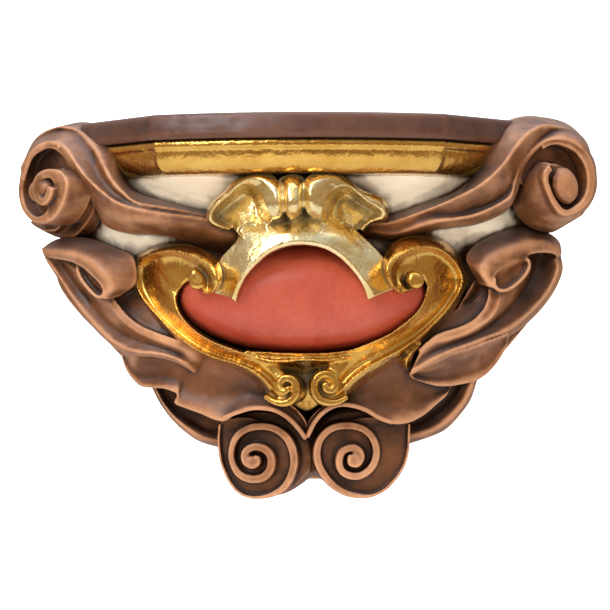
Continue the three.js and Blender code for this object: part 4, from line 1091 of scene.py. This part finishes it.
def cream_material():
    """Chalky cream paint, streaked by the brush, with painted shade darkening it in the corners."""
    n = Nodes("cream_ground")
    open_ = n.attribute("open")
    streak = n.noise(60, 4, 0.6, stretch=(0.35, 0.6, 2.2), distortion=0.8)
    colour = n.mix(n.spread(streak, 0.35, 0.7), (0.86, 0.73, 0.56), (0.96, 0.88, 0.74))
    # Painted shade: corners that see little open room darken almost to black
    colour = n.mix(n.spread(open_, 0.04, 0.3, 1, 0), colour, CORNER_SHADE)
    normal = n.bump(streak, 0.2, 0.001)
    return n.finish(colour=colour, rough=0.5, normal=normal)


def red_material():
    """Red glaze: cloudy, finely speckled, with painted shade making it darker towards the gilding."""
    n = Nodes("red_field")
    open_ = n.attribute("open")
    cloud = n.noise(38, 5, 0.6)
    fine = n.noise(420, 4, 0.7)
    colour = n.mix(n.spread(cloud, 0.3, 0.72), (0.31, 0.037, 0.02), (0.44, 0.08, 0.042))
    speckle = n.math("MULTIPLY", n.spread(fine, 0.45, 0.62), 0.18)
    colour = n.mix(speckle, colour, (0.5, 0.12, 0.08))
    # Painted shade: darker where the field sees little open room, under the gilding's edges
    shade = n.math("MULTIPLY", n.spread(open_, 0.08, 0.4, 1, 0), 0.85)
    colour = n.mix(shade, colour, (0.13, 0.014, 0.008))
    normal = n.bump(n.noise(55, 2, 0.5), 0.25, 0.002)
    normal = n.bump(fine, 0.08, 0.0005, normal)
    return n.finish(colour=colour, rough=0.34, normal=normal)


brown = wood_material(
    "stained_wood", dark=(0.024, 0.009, 0.004), mid=(0.138, 0.05, 0.018), light=(0.52, 0.255, 0.128),
    warm=(0.25, 0.08, 0.02), sheen_share=0.25, rough=0.42)
plate = wood_material(
    "board_wood", dark=(0.017, 0.007, 0.005), mid=(0.044, 0.016, 0.010), light=(0.105, 0.044, 0.028),
    warm=(0.065, 0.023, 0.012), sheen_share=0.2, rough=0.34)
gold = gold_material("gold_leaf", thin=(0.68, 0.35, 0.05), thick=(0.83, 0.49, 0.105))
# A paler copy of the gold leaf for the bow: painted highlight, standing in for the light its upturned faces
# catch
highlight_gold = gold_material("gold_leaf_painted_highlight", thin=(0.84, 0.58, 0.20), thick=(0.96, 0.80, 0.44))

# Pieces

pieces = []


def keep(piece, material):
    """The finished piece in the frame, with its finish."""
    piece.data.materials.clear()
    piece.data.materials.append(material)
    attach(piece, "root")
    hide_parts("carved_console")
    pieces.append(piece)


# Where each turned face stands, and its turn about the vertical in degrees
LEFT_TOP = ((-128.5, 92, 56), -50)
RIGHT_TOP = ((129, 95, 59), 30)
LEFT_BASE = ((-23, 90, -77), -5)
RIGHT_BASE = ((24.5, 90, -77), 5)
LEFT_GLANCE = ((-9.5, 117, -40), -8)
RIGHT_GLANCE = ((12, 117, -39), 8)

# How far each first station of the arms is tucked in, and each rail of the bow lifted
ARM_DROPS = (9, 6, 2)
BOW_LIFTS = (9, 9, 9, 9, 11, 12)

# Turned forms: how far behind the face, and how much larger than its outline
DISH_HUB = [(-4.2, -4), (-3.8, -2), (-2.6, -0.6), (-1, 0), (9, 0)]
FLAT_CAP = [(4, -2), (4, 0), (14, 0.5)]
ROUND_KNOB = [(-3.2, -7), (-2.8, -4), (-1.6, -1.4), (0.4, 0), (9, 0)]
FOOT_HUB = [(-5.4, -1.2), (-5, -0.3), (-4, 0), (9, 0)]
FOOT_BARREL = [(11, -5), (12, -2), (16, -0.3), (40, -0.6), (62, -4)]
BUTTON = [(-2, -2.2), (-1.4, -0.7), (0, 0), (14, 0.4)]

# The board's edge and the ovolo under it: setback and height
BOARD_EDGE = [(0.8, 78), (0, 79), (0.2, 83), (1.4, 89.4), (2.2, 90)]
FILLET = [(4.8, 78), (4.8, 77.3), (2.8, 77.1), (2.8, 74)]
QUARTER = np.linspace(0, math.pi / 2, 12)
OVOLO = [(4.4 + 9.6 * (1 - math.cos(a)), 73.7 - 11.7 * math.sin(a)) for a in QUARTER]

# The lower body starts a little above the level where the cream ends
LOWER_TOP = [1.5, 0.795, 0.83]
CREAM_LEVELS = 6


def arm(name, rails, inward, creases):
    surface = relief(tucked(rails, ARM_DROPS, inward), steps=96, floor=44, creases=creases)
    keep(carved(name, [surface], voxel=0.7), brown)


def leaves(name, roll, band, curl, bowl, flank, under, blades, hind):
    keep(carved(name, [
        sheet_of(roll, steps=110, floor=58),
        sheet_of(band, steps=150, floor=50, creases=(1, 3)),
        edging(curl, width=3.6, deep=10),
        sheet_of(bowl, steps=60, floor=60),
        relief(hollowed(*flank, FLANK_SHARES), steps=50, floor=1.2),
        sheet_of(under, steps=60, floor=50),
        *[leaf(form, floor) for form, floor in blades],
        sheet_of(hind, steps=60, floor=18),
    ], voxel=0.75), brown)


def foot(name, line, face, hub, lip, edge, base):
    keep(carved(name, [
        spiral(line, *base, rise=(-3, 6), deep=13),
        filled(face, *base, deep=6, thick=20),
        drum(hub, *base, FOOT_HUB),
        edging(lip, width=4.6, deep=14),
        drum(edge, *base, FOOT_BARREL),
    ], voxel=0.55), brown)


arm("arm_left", LEFT_ARM, 6, (2, 4))
keep(carved("volute_left", [
    rim(*LEFT_RIM, *LEFT_TOP, rise=(-1, 6), deep=14, steps=240),
    filled(LEFT_FACE, *LEFT_TOP, deep=6.5, thick=26),
    drum(LEFT_HUB, *LEFT_TOP, DISH_HUB),
    sheet_of(LEFT_BARREL, steps=70, floor=56, creases=(2, 4)),
], voxel=0.55), brown)
arm("arm_right", RIGHT_ARM, -6, (3,))
keep(carved("volute_right", [
    rim(*RIGHT_RIM, *RIGHT_TOP, rise=(-1, 4), deep=13, steps=240),
    filled(RIGHT_FACE, *RIGHT_TOP, deep=9, thick=26),
    drum(RIGHT_CAP, *RIGHT_TOP, FLAT_CAP),
    drum(RIGHT_KNOB, *RIGHT_TOP, ROUND_KNOB),
    sheet_of(RIGHT_BARREL, steps=80, floor=56),
    sheet_of(RIGHT_HOOD, steps=60, floor=52),
], voxel=0.55), brown)
leaves("leaves_left", LEFT_ROLL, LEFT_BAND, LEFT_CURL, LEFT_BOWL, LEFT_FLANK, LEFT_UNDER,
       [(LEFT_LEAF, 40)], LEFT_HIND)
leaves("leaves_right", RIGHT_ROLL, RIGHT_BAND, RIGHT_CURL, RIGHT_BOWL, RIGHT_FLANK, RIGHT_UNDER,
       [(RIGHT_PETAL, 44), (RIGHT_LEAF, 40)], RIGHT_HIND)
foot("foot_left", LEFT_FOOT, LEFT_FOOT_FACE, LEFT_FOOT_HUB, LEFT_LIP, LEFT_FOOT_EDGE, LEFT_BASE)
foot("foot_right", RIGHT_FOOT, RIGHT_FOOT_FACE, RIGHT_FOOT_HUB, RIGHT_LIP, RIGHT_FOOT_EDGE, RIGHT_BASE)
lower = body([LOWER_TOP, *BODY_LEVELS[CREAM_LEVELS - 1 :]])
keep(carved("body_lower", [lower], voxel=1.2), brown)
wings = [sheet_of(wing, steps=30, floor=44) for wing in (LEFT_WING, RIGHT_WING, RIGHT_SLIVER)]
upper = carved("body_upper", [body(BODY_LEVELS[:CREAM_LEVELS]), *wings], voxel=1.0)
keep(upper, cream_material())
field = dome((0.5, 99, 3.5), half_width=61, rise=27, depth=26)
keep(carved("cushion", [field], voxel=0.9), red_material())
keep(carved("scrolls", [
    c_scroll(LEFT_C),
    c_scroll(RIGHT_C),
    drum(LEFT_BUTTON, (-55, 121, 12), -10, BUTTON),
    drum(RIGHT_BUTTON, (54, 121, 12), 10, BUTTON),
    sheet_of(LEAF_TIP, steps=40, floor=92, creases=(1,)),
    relief(through(*STRIP.values()), steps=60, floor=80, creases=(2,)),
    sheet_of(NAPE, steps=40, floor=70),
    spiral(LEFT_EYE, *LEFT_GLANCE, rise=(0, 3), deep=8, steps=140),
    filled(LEFT_EYE_FACE, *LEFT_GLANCE, deep=2.6, thick=18),
    spiral(RIGHT_EYE, *RIGHT_GLANCE, rise=(0, 3), deep=8, steps=140),
    filled(RIGHT_EYE_FACE, *RIGHT_GLANCE, deep=2.6, thick=18),
], voxel=0.6), gold)
keep(carved("bow", [
    relief(through(*ARCH.values()), steps=110, floor=92, fine=6, creases=(1,)),
    sheet_of(lifted(LEFT_BOW, BOW_LIFTS), steps=130, floor=92, creases=(2,)),
    sheet_of(lifted(RIGHT_BOW, BOW_LIFTS), steps=130, floor=92, creases=(2,)),
    sheet_of(KNOT, steps=50, floor=92),
], voxel=0.55), highlight_gold)
keep(carved("top_board", [stacked(BOARD_EDGE)], voxel=1.1, soften=1), plate)
keep(carved("moulding", [stacked(FILLET + OVOLO)], voxel=0.8, soften=1), gold)

# The share of its triangles that each mesh keeps
KEPT_TRIANGLES = 0.42

for piece in pieces:
    mark_ridges(piece)
mark_hollows(pieces)
for piece in pieces:
    thinned(piece, KEPT_TRIANGLES)

# Stage: a pale floor well below, a white wall behind, soft boxes

def plain(name, colour, glow=0.0):
    n = Nodes(name)
    n.shader.inputs["Base Color"].default_value = (*colour, 1)
    n.shader.inputs["Roughness"].default_value = 0.9
    n.shader.inputs["Emission Color"].default_value = (1, 1, 1, 1)
    n.shader.inputs["Emission Strength"].default_value = glow
    return n.material


def sheet(name, corners, material, mirrored=True):
    mesh = bpy.data.meshes.new(name)
    mesh.from_pydata(corners, [], [(0, 1, 2, 3)])
    mesh.materials.append(material)
    item = bpy.data.objects.new(name, mesh)
    bpy.context.scene.collection.objects.link(item)
    item.visible_glossy = mirrored
    item.visible_diffuse = mirrored
    return item


SIDE, NEAR, FAR, LOW, HIGH = 1.5, -1.2, 0.9, -0.45, 1.4
floor_corners = [(-SIDE, NEAR, LOW), (SIDE, NEAR, LOW), (SIDE, FAR, LOW), (-SIDE, FAR, LOW)]
wall_corners = [(-SIDE, FAR, LOW), (SIDE, FAR, LOW), (SIDE, FAR, HIGH), (-SIDE, FAR, HIGH)]
sheet("floor", floor_corners, plain("pale_floor", (0.78, 0.77, 0.75)))
sheet("backdrop", wall_corners, plain("white_backdrop", (0.9, 0.9, 0.9), 1.05), mirrored=False)


def soft_box(name, place, aim, width, height, watts, colour, mirrored=True):
    data = bpy.data.lights.new(name, "AREA")
    data.shape = "RECTANGLE"
    data.size, data.size_y = width, height
    data.energy = watts
    data.color = colour
    lamp = bpy.data.objects.new(name, data)
    lamp.location = place
    lamp.rotation_euler = (Vector(aim) - Vector(place)).to_track_quat("-Z", "Y").to_euler()
    lamp.visible_glossy = mirrored
    bpy.context.scene.collection.objects.link(lamp)


soft_box("window", (-0.6, -0.95, 0.65), aim=(0, -0.07, 0), width=0.6, height=0.6, watts=8.5,
         colour=(0.93, 0.96, 1.0))
soft_box("overhead", (0.1, -0.35, 0.95), aim=(0, -0.08, 0), width=1.1, height=0.5, watts=4,
         colour=(0.95, 0.97, 1.0))
soft_box("front_fill", (0.05, -1.5, -0.35), aim=(0, -0.07, 0), width=1.6, height=1.0, watts=25,
         colour=(1.0, 0.94, 0.85), mirrored=False)

# The room's light by height: brown below, amber at the horizon, cool above
world = bpy.context.scene.world or bpy.data.worlds.new("room")
bpy.context.scene.world = world
world.use_nodes = True
sky = Nodes.__new__(Nodes)
sky.tree = world.node_tree
background = sky.tree.nodes["Background"]
upright = sky.add("ShaderNodeSeparateXYZ")
sky.link(sky.add("ShaderNodeTexCoord").outputs["Generated"], upright.inputs[0])
height = sky.spread(upright.outputs["Z"], -1, 1)
sky.link(sky.ramp(height, [
    (0.0, (0.10, 0.06, 0.03)), (0.40, (0.30, 0.19, 0.10)), (0.5, (0.62, 0.45, 0.27)),
    (0.62, (0.50, 0.43, 0.36)), (0.80, (0.75, 0.80, 0.92)), (1.0, (1.3, 1.4, 1.55)),
]), background.inputs["Color"])
background.inputs["Strength"].default_value = 0.8
bpy.context.scene.view_settings.view_transform = "Standard"

lens = bpy.data.cameras.new("camera")
lens.lens = LENS
lens.sensor_width = 36
lens.clip_end = 20
camera = bpy.data.objects.new("camera", lens)
camera.location = (CAMERA[0] / 1000, CAMERA[1] / 1000, 0)
camera.rotation_euler = (math.pi / 2, 0, CAMERA_TURN)
bpy.context.scene.collection.objects.link(camera)
bpy.context.scene.camera = camera
